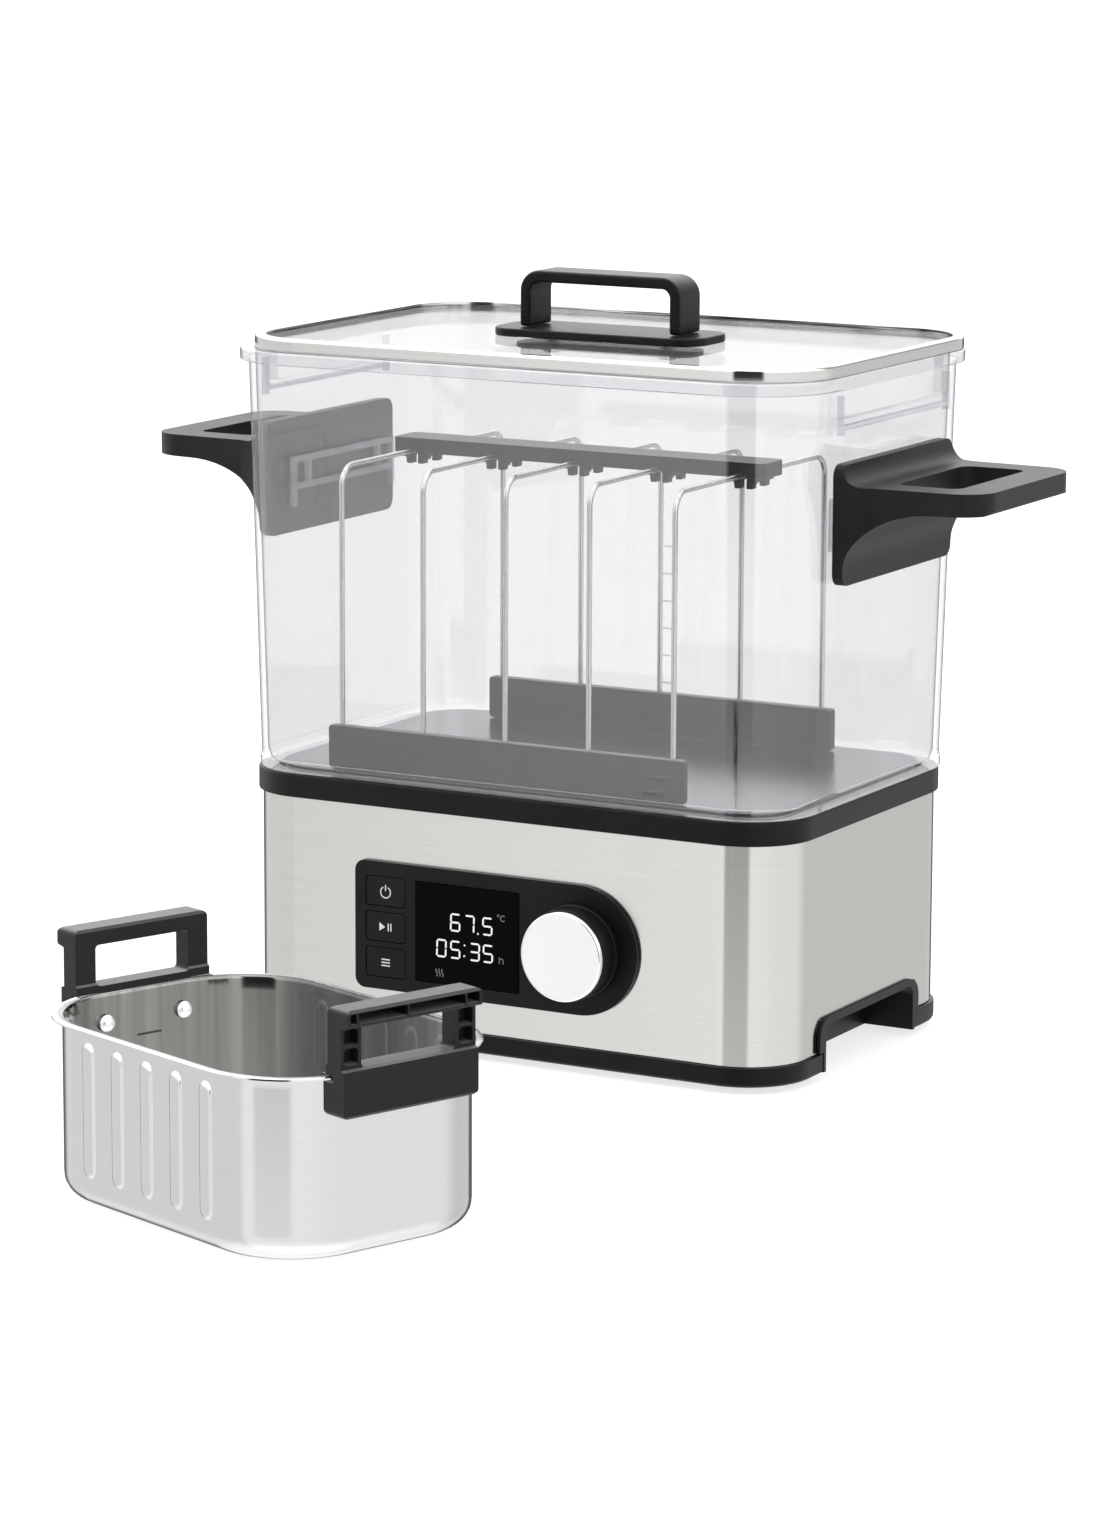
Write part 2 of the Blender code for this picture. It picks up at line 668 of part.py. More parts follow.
def handle_profile():
    """Side view of a tank handle: wall plate, loop slab and the sweep between them."""
    outline = [(HANDLE_PLATE_X[0], HANDLE_PLATE_Z[0]), (HANDLE_PLATE_X[1], HANDLE_PLATE_Z[0])]
    for i in range(9):
        angle = math.radians(180 - 90 * i / 8)
        x = 0.1920 + (0.1920 - HANDLE_PLATE_X[1]) * math.cos(angle)
        outline.append((x, 0.2330 + 0.0275 * math.sin(angle)))
    outline += [
        (0.2130, 0.2608),
        (HANDLE_END, 0.2625),
        (HANDLE_END, HANDLE_TOP - 0.0015),
        (HANDLE_END - 0.0015, HANDLE_TOP),
    ]
    for i in range(6):
        angle = math.radians(-90 - 90 * i / 5)
        x = HANDLE_PLATE_X[1] + 0.0080 + 0.0080 * math.cos(angle)
        outline.append((x, HANDLE_TOP + 0.0080 + 0.0080 * math.sin(angle)))
    outline += [
        (HANDLE_PLATE_X[1], HANDLE_PLATE_Z[1] - 0.0006),
        (HANDLE_PLATE_X[1] - 0.0006, HANDLE_PLATE_Z[1]),
        (HANDLE_PLATE_X[0], HANDLE_PLATE_Z[1]),
    ]
    return outline


def build_tank_handles():
    for side in (-1, 1):
        name = "tank_handle_" + side_name(side)
        outline = [(side * x, z) for x, z in handle_profile()]
        mesh = prism(name, outline, "Y", -0.0570, 0.0570)
        handle = add_object(name, mesh, "tank", "charcoal_plastic")
        plan = handle_plan(side)
        shape = add_cutter(name + "_plan", prism("plan", plan, "Z", 0.2200, 0.2900), "tank")
        boolean(handle, shape, "INTERSECT")
        x = sorted((side * 0.1665, side * 0.1975))
        outline = rectangle((x[0], -0.0365), (x[1], 0.0365), 0.0060)
        hole = prism("hole", outline, "Z", 0.2100, 0.2900)
        boolean(handle, add_cutter(name + "_hole", hole, "tank"))
        soften(handle, 0.0012)


def handle_plan(side):
    """Top view: full width at the wall, a little narrower loop with rounded outer corners."""
    radius = 0.0160
    half = 0.0520
    outline = [(0.1440, -0.0570), (0.1530, -0.0570), (0.1610, -0.0535)]
    for centre_y, start in ((-half + radius, -90), (half - radius, 0)):
        for i in range(7):
            angle = math.radians(start + 15 * i)
            x = HANDLE_END - radius + radius * math.cos(angle)
            outline.append((x, centre_y + radius * math.sin(angle)))
    outline += [(0.1610, 0.0535), (0.1530, 0.0570), (0.1440, 0.0570)]
    return [(side * x, y) for x, y in outline]


# Lid


def build_lid():
    rings = [
        base_ring(0.0037, GLASS_LOW),
        base_ring(0.0037, GLASS_TOP),
    ]
    glass = add_object("lid_glass", loft("lid_glass", rings), "lid", "clear_glass")
    for index, x in enumerate((-0.0300, 0.0300), 1):
        hole = prism("glass_hole", circle((x, 0.0), 0.0035, 16), "Z", 0.3150, 0.3280)
        boolean(glass, add_cutter("glass_hole_%d" % index, hole, "lid"))
    rings = [
        base_ring(0.0060, LID_BOTTOM),
        base_ring(0.0064, LID_BOTTOM + 0.0005),
        base_ring(0.0064, LID_TOP - 0.0012),
        base_ring(0.0060, LID_TOP - 0.0003),
        base_ring(0.0050, LID_TOP),
        base_ring(0.0018, LID_TOP),
        base_ring(0.0010, LID_TOP - 0.0005),
        base_ring(0.0010, GLASS_TOP + GAP),
        base_ring(0.0040, GLASS_TOP + GAP),
        base_ring(0.0040, LID_BOTTOM),
    ]
    add_object("lid_rim", loft("lid_rim", rings, True), "lid", "polished_steel")


def build_lid_handle():
    low = GLASS_TOP + GAP
    rings = []
    for inset, z in ((0.0004, low), (0.0, low + 0.0004), (0.0, low + 0.0032), (0.0006, low + 0.0038)):
        rings.append(rounded_rect(0.0540 - inset, 0.0205 - inset, 0.0125 - inset, z, 6))
    plate = add_object("lid_handle_base", loft("lid_handle_base", rings), "lid", "black_plastic")
    for index, x in enumerate((-0.0340, 0.0100, 0.0430), 1):
        notch = box("notch", (x - 0.0040, x + 0.0040), (-0.03, -0.0185), (0.3200, low + 0.0009))
        boolean(plate, add_cutter("base_notch_%d" % index, notch, "lid"))
    for index, x in enumerate((-0.0300, 0.0300), 1):
        bore = prism("base_bore", circle((x, 0.0), 0.0023, 12), "Z", 0.3190, low + 0.0024)
        boolean(plate, add_cutter("base_bore_%d" % index, bore, "lid"))
    strap = prism("lid_handle", strap_outline(low + 0.0041), "Y", -STRAP_DEPTH, STRAP_DEPTH)
    handle = add_object("lid_handle", strap, "lid", "black_plastic")
    soften(handle, 0.0014, 3, 40.0)
    rings = [rounded_rect(0.0460, 0.0120, 0.0090, z, 5) for z in (0.3172, GLASS_LOW - GAP)]
    clamp = add_object("lid_clamp_plate", loft("lid_clamp_plate", rings), "lid", "black_plastic")
    for index, x in enumerate((-0.0300, 0.0300), 1):
        hole = prism("clamp_hole", circle((x, 0.0), 0.0023, 12), "Z", 0.3100, 0.3250)
        boolean(clamp, add_cutter("clamp_hole_%d" % index, hole, "lid"))
        profile = (
            (0.0036, 0.3150),
            (0.0044, 0.3158),
            (0.0044, 0.3169),
            (0.0019, 0.3169),
            (0.0019, low + 0.0021),
        )
        name = "lid_screw_%d" % index
        add_object(name, lathe(name, profile, (x, 0.0), steps=16), "lid", "polished_steel")


def strap_outline(foot):
    """Arch of the lid handle, seen from the front."""
    outer = STRAP_HALF
    inner = STRAP_HALF - STRAP_THICK
    top = STRAP_TOP
    radius = 0.0095
    outline = [(outer, foot)]
    for centre_x, start in ((outer - radius, 0), (-outer + radius, 90)):
        for i in range(8):
            angle = math.radians(start + 90 * i / 7)
            x = centre_x + radius * math.cos(angle)
            outline.append((x, top - radius + radius * math.sin(angle)))
    outline += [(-outer, foot), (-inner, foot)]
    radius = 0.0042
    top -= STRAP_THICK
    for centre_x, start in ((-inner + radius, 180), (inner - radius, 90)):
        for i in range(5):
            angle = math.radians(start - 90 * i / 4)
            x = centre_x + radius * math.cos(angle)
            outline.append((x, top - radius + radius * math.sin(angle)))
    outline.append((inner, foot))
    return outline


# Pouch rack


def build_rack():
    for name, y in (("front", -WIRE_HALF_SPAN), ("rear", WIRE_HALF_SPAN)):
        label = "rack_rail_" + name
        outline = rectangle((-RAIL_HALF, FLOOR_TOP + GAP), (RAIL_HALF, RAIL_TOP), 0.0016, 3)
        mesh = prism(label, outline, "Y", y - 0.0028, y + 0.0028)
        add_object(label, mesh, "rack", "black_plastic")
    outline = rectangle((-BAR_HALF, -0.0102), (BAR_HALF, 0.0102), 0.0020, 3)
    mesh = prism("rack_bar", outline, "Z", BAR_LOW, BAR_TOP)
    bar = add_object("rack_bar", mesh, "rack", "black_plastic")
    for index in range(5):
        x = (index - 2) * WIRE_PITCH
        teeth = tooth_outline(x)
        block = prism("teeth", teeth, "Y", -0.0090, 0.0090)
        boolean(bar, add_cutter("teeth_%d" % (index + 1), block, "rack"), "UNION")
        groove = rectangle((x - 0.0016, 0.2500), (x + 0.0016, WIRE_TOP + 0.0016), 0.0012, 3)
        slot = prism("groove", groove, "Y", -0.0200, 0.0200)
        boolean(bar, add_cutter("groove_%d" % (index + 1), slot, "rack"))
        add_wire("rack_wire_%d" % (index + 1), divider_path(x), WIRE_RADIUS, "rack", "polished_steel")


def tooth_outline(x):
    """Clip block under the bar, tapering down; the groove splits it into two teeth."""
    return [
        (x - 0.0070, BAR_LOW + 0.0020),
        (x - 0.0058, BAR_LOW - 0.0052),
        (x + 0.0058, BAR_LOW - 0.0052),
        (x + 0.0070, BAR_LOW + 0.0020),
    ]


def divider_path(x):
    """Inverted U: foot on the front rail, over the top and down to the rear rail."""
    foot = RAIL_TOP + GAP
    points = [(x, -WIRE_HALF_SPAN, foot)]
    for centre_y, start in ((-WIRE_HALF_SPAN + WIRE_BEND, 180), (WIRE_HALF_SPAN - WIRE_BEND, 90)):
        for i in range(6):
            angle = math.radians(start - 18 * i)
            y = centre_y + WIRE_BEND * math.cos(angle)
            points.append((x, y, WIRE_TOP - WIRE_BEND + WIRE_BEND * math.sin(angle)))
    points.append((x, WIRE_HALF_SPAN, foot))
    return points


# Insert pan


def rib_columns():
    """X stations along a long side with the rib height share at each."""
    columns = []
    for rib in range(RIB_COUNT):
        centre = RIB_START + rib * RIB_PITCH
        for place, share in ((-1.0, 0.0), (-0.6, 0.72), (0.0, 1.0), (0.6, 0.72), (1.0, 0.0)):
            columns.append((centre + place * RIB_HALF, share))
    return columns


def pan_ring(offset, z, rib=0.0):
    """Outline of the basin set off from its outer wall, with the ribs raised by the given height."""
    half_x = PAN_HALF_X + offset
    half_y = PAN_HALF_Y + offset
    radius = PAN_RADIUS + offset
    columns = rib_columns()
    ring = []
    for sign_x, sign_y, start in ((1, 1, 0), (-1, 1, 90), (-1, -1, 180), (1, -1, 270)):
        for step in range(8):
            angle = math.radians(start + 90.0 * step / 7)
            x = sign_x * (half_x - radius) + radius * math.cos(angle)
            y = sign_y * (half_y - radius) + radius * math.sin(angle)
            ring.append((x, y, z))
        if start == 0:
            ring += [(x, half_y + share * rib, z) for x, share in reversed(columns)]
        if start == 180:
            ring += [(x, -half_y - share * rib, z) for x, share in columns]
    return ring


def pan_levels():
    """(height, rib share) rows up the wall above the bottom fillet."""
    low, high = RIB_Z
    return (
        (low, 0.0),
        (low + 0.0012, 0.72),
        (low + 0.0032, 1.0),
        (high - 0.0032, 1.0),
        (high - 0.0012, 0.72),
        (high, 0.0),
    )


def build_basin():
    rings = []
    for i in range(5):
        angle = math.radians(90 * i / 4)
        drop = PAN_FILLET * (1 - math.sin(angle))
        rings.append(pan_ring(-drop, PAN_FILLET * (1 - math.cos(angle))))
    for z, share in pan_levels():
        rings.append(pan_ring(0.0, z, share * RIB_RISE))
    top = PAN_HEIGHT
    for offset, z in (
        (0.0, top - 0.0020),
        (0.0010, top - 0.0010),
        (PAN_LIP - 0.0010, top - 0.0010),
        (PAN_LIP - 0.0006, top - 0.0018),
        (PAN_LIP, top - 0.0014),
        (PAN_LIP, top - 0.0004),
        (PAN_LIP - 0.0005, top),
        (0.0006, top),
        (-0.0008, top - 0.0012),
    ):
        rings.append(pan_ring(offset, z))
    for z, share in reversed(pan_levels()):
        rings.append(pan_ring(-PAN_WALL, z, share * RIB_RISE))
    inner = PAN_FILLET - PAN_WALL
    for i in range(4, -1, -1):
        angle = math.radians(90 * i / 4)
        drop = inner * (1 - math.sin(angle))
        rings.append(pan_ring(-PAN_WALL - drop, PAN_FILLET - inner * math.cos(angle)))
    basin = add_object("pan_basin", loft("pan_basin", rings), "pan", "brushed_steel")
    for name, side, y in rivet_spots():
        x = sorted((side * 0.0780, side * 0.0900))
        hole = prism("rivet_hole", circle((y, RIVET_Z), 0.0021, 12), "X", x[0], x[1])
        boolean(basin, add_cutter(name + "_hole", hole, "pan"))


def rivet_spots():
    spots = []
    for index, (side, sign_y) in enumerate(((1, -1), (1, 1), (-1, -1), (-1, 1)), 1):
        spots.append(("pan_rivet_%d" % index, side, sign_y * RIVET_Y))
    return spots


def build_rivets():
    wall = PAN_HALF_X - PAN_WALL
    for name, side, y in rivet_spots():
        profile = (
            (0.0018, side * (wall - 0.0038)),
            (0.0034, side * (wall - 0.0032)),
            (0.0042, side * (wall - 0.0020)),
            (0.0043, side * (wall - 0.0013)),
            (0.0018, side * (wall - 0.0013)),
            (0.0018, side * (PAN_HALF_X + 0.0060)),
        )
        mesh = lathe(name, profile, (y, RIVET_Z), axis="X", steps=16)
        add_object(name, mesh, "pan", "polished_steel")


def pan_handle_profile():
    """Side view, X outwards from the pan: skirt plate, window frame and hook bar."""
    return [
        (0.0700, 0.0608),
        (0.0954, 0.0608),
        (0.0961, 0.0616),
        (0.0961, 0.0800),
        (0.0941, 0.0806),
        (0.0941, 0.0972),
        (0.0980, 0.0980),
        (0.0986, 0.0988),
        (0.0986, 0.1042),
        (0.0976, 0.1052),
        (0.0866, 0.1052),
        (0.0856, 0.1042),
        (0.0856, 0.0820),
        (0.0844, 0.0812),
        (0.0844, 0.0778),
        (0.0700, 0.0778),
    ]


def build_pan_handles():
    rings = [
        pan_ring(0.0004, 0.0500),
        pan_ring(0.0004, PAN_HEIGHT - 0.0024),
        pan_ring(PAN_LIP + 0.0004, PAN_HEIGHT - 0.0024),
        pan_ring(PAN_LIP + 0.0004, PAN_HEIGHT + 0.0004),
        pan_ring(-0.0010, PAN_HEIGHT + 0.0004),
    ]
    for side in (-1, 1):
        name = "pan_handle_" + side_name(side)
        outline = [(side * x, z) for x, z in pan_handle_profile()]
        mesh = prism(name, outline, "Y", -PAN_HANDLE_HALF, PAN_HANDLE_HALF)
        handle = add_object(name, mesh, "pan", "charcoal_plastic")
        clearance = add_cutter(name + "_clearance", loft("clearance", rings), "pan")
        boolean(handle, clearance)
        cut_pan_handle(handle, name, side)


def cut_pan_handle(handle, name, side):
    """Finger window, hollow hook bar, leg pockets and blind rivet bores."""
    outline = rectangle((-0.0238, 0.0806), (0.0238, 0.0980), 0.0018, 3)
    x = sorted((side * 0.0600, side * 0.1100))
    window = prism("window", outline, "X", x[0], x[1])
    boolean(handle, add_cutter(name + "_window", window, "pan"))
    x = sorted((side * 0.0876, side * 0.1100))
    outline = rectangle((-0.0325, 0.0994), (0.0325, 0.1038), 0.0010, 3)
    hollow = prism("hollow", outline, "X", x[0], x[1])
    boolean(handle, add_cutter(name + "_bar_hollow", hollow, "pan"))
    x = sorted((side * 0.0891, side * 0.0946))
    for index, y in enumerate((-0.0290, 0.0290), 1):
        outline = rectangle((y - 0.0036, 0.0822), (y + 0.0036, 0.0968), 0.0020, 3)
        pocket = prism("pocket", outline, "X", x[0], x[1])
        boolean(handle, add_cutter("%s_pocket_%d" % (name, index), pocket, "pan"))
    x = sorted((side * 0.0776, side * 0.0920))
    for index, y in enumerate((-RIVET_Y, RIVET_Y), 1):
        bore = prism("rivet_bore", circle((y, RIVET_Z), 0.0022, 12), "X", x[0], x[1])
        boolean(handle, add_cutter("%s_bore_%d" % (name, index), bore, "pan"))


def build():
    clear_scene()
    make_collections()
    make_frame("cooker", COOKER_AT)
    make_frame("tank", (TANK_SHIFT, 0.0, 0.0), "cooker")
    make_frame("lid", (LID_SHIFT, 0.0, 0.0), "tank")
    make_frame("rack", (RACK_AT[0], RACK_AT[1], 0.0), "tank")
    make_frame("knob", (KNOB_X, PANEL_FACE, KNOB_Z), "cooker")
    make_frame("pan", PAN_AT, None, PAN_YAW)
    build_tray()
    build_sleeve()
    build_collar()
    build_grips()
    build_feet()
    build_heater()
    build_boards()
    build_inlet()
    build_bezel()
    build_buttons()
    build_knob()
    build_tank_shell()
    build_tank_floor()
    build_tank_handles()
    build_lid()
    build_lid_handle()
    build_rack()
    build_basin()
    build_rivets()
    build_pan_handles()


build()
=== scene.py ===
"""Water bath cooker: fine pieces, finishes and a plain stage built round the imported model."""

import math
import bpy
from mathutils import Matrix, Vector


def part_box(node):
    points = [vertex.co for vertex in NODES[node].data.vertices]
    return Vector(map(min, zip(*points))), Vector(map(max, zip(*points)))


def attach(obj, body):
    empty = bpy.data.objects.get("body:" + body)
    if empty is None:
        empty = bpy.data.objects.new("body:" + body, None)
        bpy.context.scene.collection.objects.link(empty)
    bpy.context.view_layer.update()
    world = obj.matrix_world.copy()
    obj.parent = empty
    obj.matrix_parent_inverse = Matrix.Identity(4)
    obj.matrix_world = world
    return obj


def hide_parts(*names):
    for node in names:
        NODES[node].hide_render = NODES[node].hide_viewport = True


bl_info = {
    "name": "Water bath cooker",
    "version": (1, 0, 0),
    "blender": (4, 5, 0),
    "location": "View3D > Sidebar > Cooker",
    "description": "Builds a water bath cooker with its clear tank, lid, pouch rack and insert pan",
    "category": "Add Mesh",
}

import bpy
from bpy.props import FloatProperty, FloatVectorProperty, PointerProperty
from mathutils import Euler, Matrix, Vector

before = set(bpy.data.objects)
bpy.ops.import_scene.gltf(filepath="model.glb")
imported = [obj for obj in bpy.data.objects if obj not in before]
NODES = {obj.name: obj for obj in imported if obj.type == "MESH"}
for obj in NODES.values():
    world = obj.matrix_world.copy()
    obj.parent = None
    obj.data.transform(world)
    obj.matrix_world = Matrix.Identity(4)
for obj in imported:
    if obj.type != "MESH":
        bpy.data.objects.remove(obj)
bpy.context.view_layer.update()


def middle(node):
    low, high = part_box(node)
    return (low + high) / 2


# Places of the groups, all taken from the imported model
BASE = middle("steel_sleeve")
TANK = middle("tank_floor_plate")
LID = middle("lid_rim")
RACK = middle("rack_bar")
KNOB = middle("knob_shaft")
PAN = middle("pan_basin")
PAN_YAW = math.radians(-21.0)
PANEL_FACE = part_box("display_window")[0].y
AT_BASE = Matrix.Translation((BASE.x, BASE.y, 0.0))
AT_TANK = Matrix.Translation((TANK.x, TANK.y, 0.0))
AT_LID = Matrix.Translation((LID.x, LID.y, 0.0))
AT_RACK = Matrix.Translation((RACK.x, RACK.y, 0.0))
AT_PAN = Matrix.Translation((PAN.x, PAN.y, 0.0)) @ Matrix.Rotation(PAN_YAW, 4, "Z")
AT_KNOB = Matrix.Translation((KNOB.x, PANEL_FACE, KNOB.z))

# Corner centres of the cooker's rounded rectangle; a reach is measured out from them
CORNER_X, CORNER_Y = 0.110, 0.0625
PAN_CORNER_X, PAN_CORNER_Y = 0.0455, 0.0204


# Modelling helpers


def take(obj):
    bpy.ops.object.select_all(action="DESELECT")
    obj.select_set(True)
    bpy.context.view_layer.objects.active = obj


def line(name, points, closed=False):
    """Edges through the points: one vertex, extruded from point to point. Stays in edit mode."""
    bpy.ops.object.select_all(action="DESELECT")
    bpy.ops.mesh.primitive_plane_add(size=0.01)
    obj = bpy.context.object
    obj.name = name
    bpy.ops.object.mode_set(mode="EDIT")
    bpy.ops.mesh.merge(type="CENTER")
    bpy.ops.transform.translate(value=points[0])
    trail = [*points, points[0]] if closed else points
    for start, end in zip(trail, trail[1:]):
        step = [b - a for a, b in zip(start, end)]
        bpy.ops.mesh.extrude_region_move(TRANSFORM_OT_translate={"value": step})
    bpy.ops.mesh.select_all(action="SELECT")
    if closed:
        bpy.ops.mesh.remove_doubles(threshold=2e-6)
        bpy.ops.mesh.select_all(action="SELECT")
    return obj


def close_up(obj, caps=True):
    """Merge the seams, fill the open ends and turn the faces outwards."""
    bpy.ops.mesh.select_all(action="SELECT")
    bpy.ops.mesh.remove_doubles(threshold=3e-6)
    if caps:
        bpy.ops.mesh.select_all(action="SELECT")
        bpy.ops.mesh.fill_holes(sides=0)
    bpy.ops.mesh.select_all(action="SELECT")
    bpy.ops.mesh.normals_make_consistent(inside=False)
    bpy.ops.object.mode_set(mode="OBJECT")
    return obj


def ring_round(name, section, centre=(CORNER_X, CORNER_Y), steps=12, closed=False, runs=(1, 1)):
    """Section of (reach, height) carried round a rounded rectangle: four spins and four runs."""
    half_x, half_y = centre
    points = [(half_x, -half_y - reach, height) for reach, height in section]
    obj = line(name, points, closed)
    sides = (
        (1, -1, (0.0, 2 * half_y / runs[1], 0.0), runs[1]),
        (1, 1, (-2 * half_x / runs[0], 0.0, 0.0), runs[0]),
        (-1, 1, (0.0, -2 * half_y / runs[1], 0.0), runs[1]),
        (-1, -1, (2 * half_x / runs[0], 0.0, 0.0), runs[0]),
    )
    for sign_x, sign_y, step, count in sides:
        middle_point = (sign_x * half_x, sign_y * half_y, 0.0)
        bpy.ops.mesh.spin(steps=steps, angle=-math.pi / 2, center=middle_point, axis=(0, 0, 1))
        for _ in range(count):
            bpy.ops.mesh.extrude_region_move(TRANSFORM_OT_translate={"value": step})
    return close_up(obj, not closed)


def turned(name, section, centre=(0.0, 0.0, 0.0), axis="Z", steps=64):
    """Half section of (radius, height) spun once round an axis."""
    cx, cy, cz = centre
    place = {
        "X": lambda radius, height: (cx + height, cy - radius, cz),
        "Y": lambda radius, height: (cx + radius, cy + height, cz),
        "Z": lambda radius, height: (cx + radius, cy, cz + height),
    }[axis]
    obj = line(name, [place(radius, height) for radius, height in section])
    direction = {"X": (1, 0, 0), "Y": (0, 1, 0), "Z": (0, 0, 1)}[axis]
    bpy.ops.mesh.spin(steps=steps, angle=2 * math.pi, center=centre, axis=direction)
    return close_up(obj)


def plate(name, outline, axis, start, end):
    """Filled outline extruded along one axis: X takes (y, z), Y takes (x, z), Z takes (x, y)."""
    place = {
        "X": lambda u, v: (start, u, v),
        "Y": lambda u, v: (u, start, v),
        "Z": lambda u, v: (u, v, start),
    }[axis]
    obj = line(name, [place(u, v) for u, v in outline], True)
    bpy.ops.mesh.edge_face_add()
    step = [(end - start) * (axis == each) for each in "XYZ"]
    bpy.ops.mesh.extrude_region_move(TRANSFORM_OT_translate={"value": step})
    return close_up(obj, False)


def block(name, x, y, z):
    """Cube primitive at its size and place."""
    bpy.ops.object.select_all(action="DESELECT")
    centre = ((x[0] + x[1]) / 2, (y[0] + y[1]) / 2, (z[0] + z[1]) / 2)
    size = (abs(x[1] - x[0]), abs(y[1] - y[0]), abs(z[1] - z[0]))
    bpy.ops.mesh.primitive_cube_add(size=1.0, location=centre, scale=size)
    obj = bpy.context.object
    obj.name = name
    bpy.ops.object.transform_apply(location=True, rotation=True, scale=True)
    return obj


def apply_modifier(obj, kind, **settings):
    take(obj)
    bpy.ops.object.modifier_add(type=kind)
    modifier = obj.modifiers[-1]
    for key, value in settings.items():
        setattr(modifier, key, value)
    bpy.ops.object.modifier_apply(modifier=modifier.name)


def cut(obj, *tools, operation="DIFFERENCE"):
    for tool in tools:
        apply_modifier(obj, "BOOLEAN", operation=operation, object=tool)
        bpy.data.objects.remove(tool, do_unlink=True)
    take(obj)
    bpy.ops.object.mode_set(mode="EDIT")
    bpy.ops.mesh.select_all(action="SELECT")
    bpy.ops.mesh.remove_doubles(threshold=2e-6)
    bpy.ops.object.mode_set(mode="OBJECT")
    return obj


def soften(obj, width, segments=3, angle=32.0):
    apply_modifier(
        obj,
        "BEVEL",
        width=width,
        segments=segments,
        limit_method="ANGLE",
        angle_limit=math.radians(angle),
        use_clamp_overlap=True,
    )
    return obj


def joined(name, *parts):
    """One piece from parts that belong together."""
    bpy.ops.object.select_all(action="DESELECT")
    for part in parts:
        part.select_set(True)
    bpy.context.view_layer.objects.active = parts[0]
    bpy.ops.object.join()
    obj = bpy.context.object
    obj.name = name
    return obj


def tube(name, points, radius, sides=5):
    """Round wire along points: the drawn line becomes a curve with depth, then a mesh."""
    obj = line(name, points)
    bpy.ops.object.mode_set(mode="OBJECT")
    take(obj)
    bpy.ops.object.convert(target="CURVE")
    obj = bpy.context.object
    obj.data.bevel_depth = radius
    obj.data.bevel_resolution = sides
    obj.data.use_fill_caps = True
    bpy.ops.object.convert(target="MESH")
    obj = bpy.context.object
    obj.name = name
    bpy.ops.object.mode_set(mode="EDIT")
    bpy.ops.mesh.select_all(action="SELECT")
    return close_up(obj, False)


def arc(centre, radius, start, end, count=8):
    """Points on an arc, in degrees."""
    found = []
    for i in range(count + 1):
        angle = math.radians(start + (end - start) * i / count)
        found.append((centre[0] + radius * math.cos(angle), centre[1] + radius * math.sin(angle)))
    return found


def rounded(low, high, radius, count=6):
    """Rounded rectangle outline between two corners."""
    (x0, y0), (x1, y1) = low, high
    return [
        *arc((x1 - radius, y1 - radius), radius, 0, 90, count),
        *arc((x0 + radius, y1 - radius), radius, 90, 180, count),
        *arc((x0 + radius, y0 + radius), radius, 180, 270, count),
        *arc((x1 - radius, y0 + radius), radius, 270, 360, count),
    ]


def finished(obj, name, place, body, material, *nodes, angle=30.0):
    """Shade, put in place with the object left at the origin, finish and tie to its body."""
    take(obj)
    obj.name = name
    obj.data.name = name
    obj.matrix_world = place
    bpy.ops.object.transform_apply(location=True, rotation=True, scale=True)
    bpy.ops.object.shade_smooth_by_angle(angle=math.radians(angle))
    apply_modifier(obj, "WEIGHTED_NORMAL", keep_sharp=True)
    obj.data.materials.clear()
    obj.data.materials.append(finish(material))
    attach(obj, body)
    if nodes:
        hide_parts(*nodes)
    return obj


def copies(pattern, spots, body, material, angle=30.0):
    """The piece at each (name, place, nodes), every copy with a mesh of its own."""
    for name, place, nodes in spots:
        take(pattern)
        bpy.ops.object.duplicate()
        finished(bpy.context.object, name, place, body, material, *nodes, angle=angle)
    bpy.data.objects.remove(pattern, do_unlink=True)


def both_ends(pattern, name, place, body, material, node="", angle=30.0):
    """The piece at the right end, and turned half round at the left end."""
    spots = []
    for side, turn in (("right", 0.0), ("left", math.pi)):
        nodes = [node % side] if node else []
        spots.append((name % side, place @ Matrix.Rotation(turn, 4, "Z"), nodes))
    copies(pattern, spots, body, material, angle)


def dress(node, material):
    """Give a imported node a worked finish."""
    obj = NODES[node]
    for each in obj.material_slots:
        each.material = finish(material)


# Shader helpers


class Field:
    """A number that varies over a surface; sums on it add Math nodes."""

    def __init__(self, recipe, socket):
        self.recipe = recipe
        self.socket = socket

    def sum(self, operation, first, second=None):
        values = {0: first} if second is None else {0: first, 1: second}
        return self.recipe.number("ShaderNodeMath", {"operation": operation}, values)

    def __add__(self, other):
        return self.sum("ADD", self, other)

    def __sub__(self, other):
        return self.sum("SUBTRACT", self, other)

    def __rsub__(self, other):
        return self.sum("SUBTRACT", other, self)

    def __mul__(self, other):
        return self.sum("MULTIPLY", self, other)

    def __pow__(self, other):
        return self.sum("POWER", self, other)

    __radd__ = __add__
    __rmul__ = __mul__

    def step(self, low, high):
        """0 below low, 1 above high, smooth between."""
        settings = {"interpolation_type": "SMOOTHSTEP", "clamp": True}
        return self.recipe.number("ShaderNodeMapRange", settings, {0: self, 1: low, 2: high})


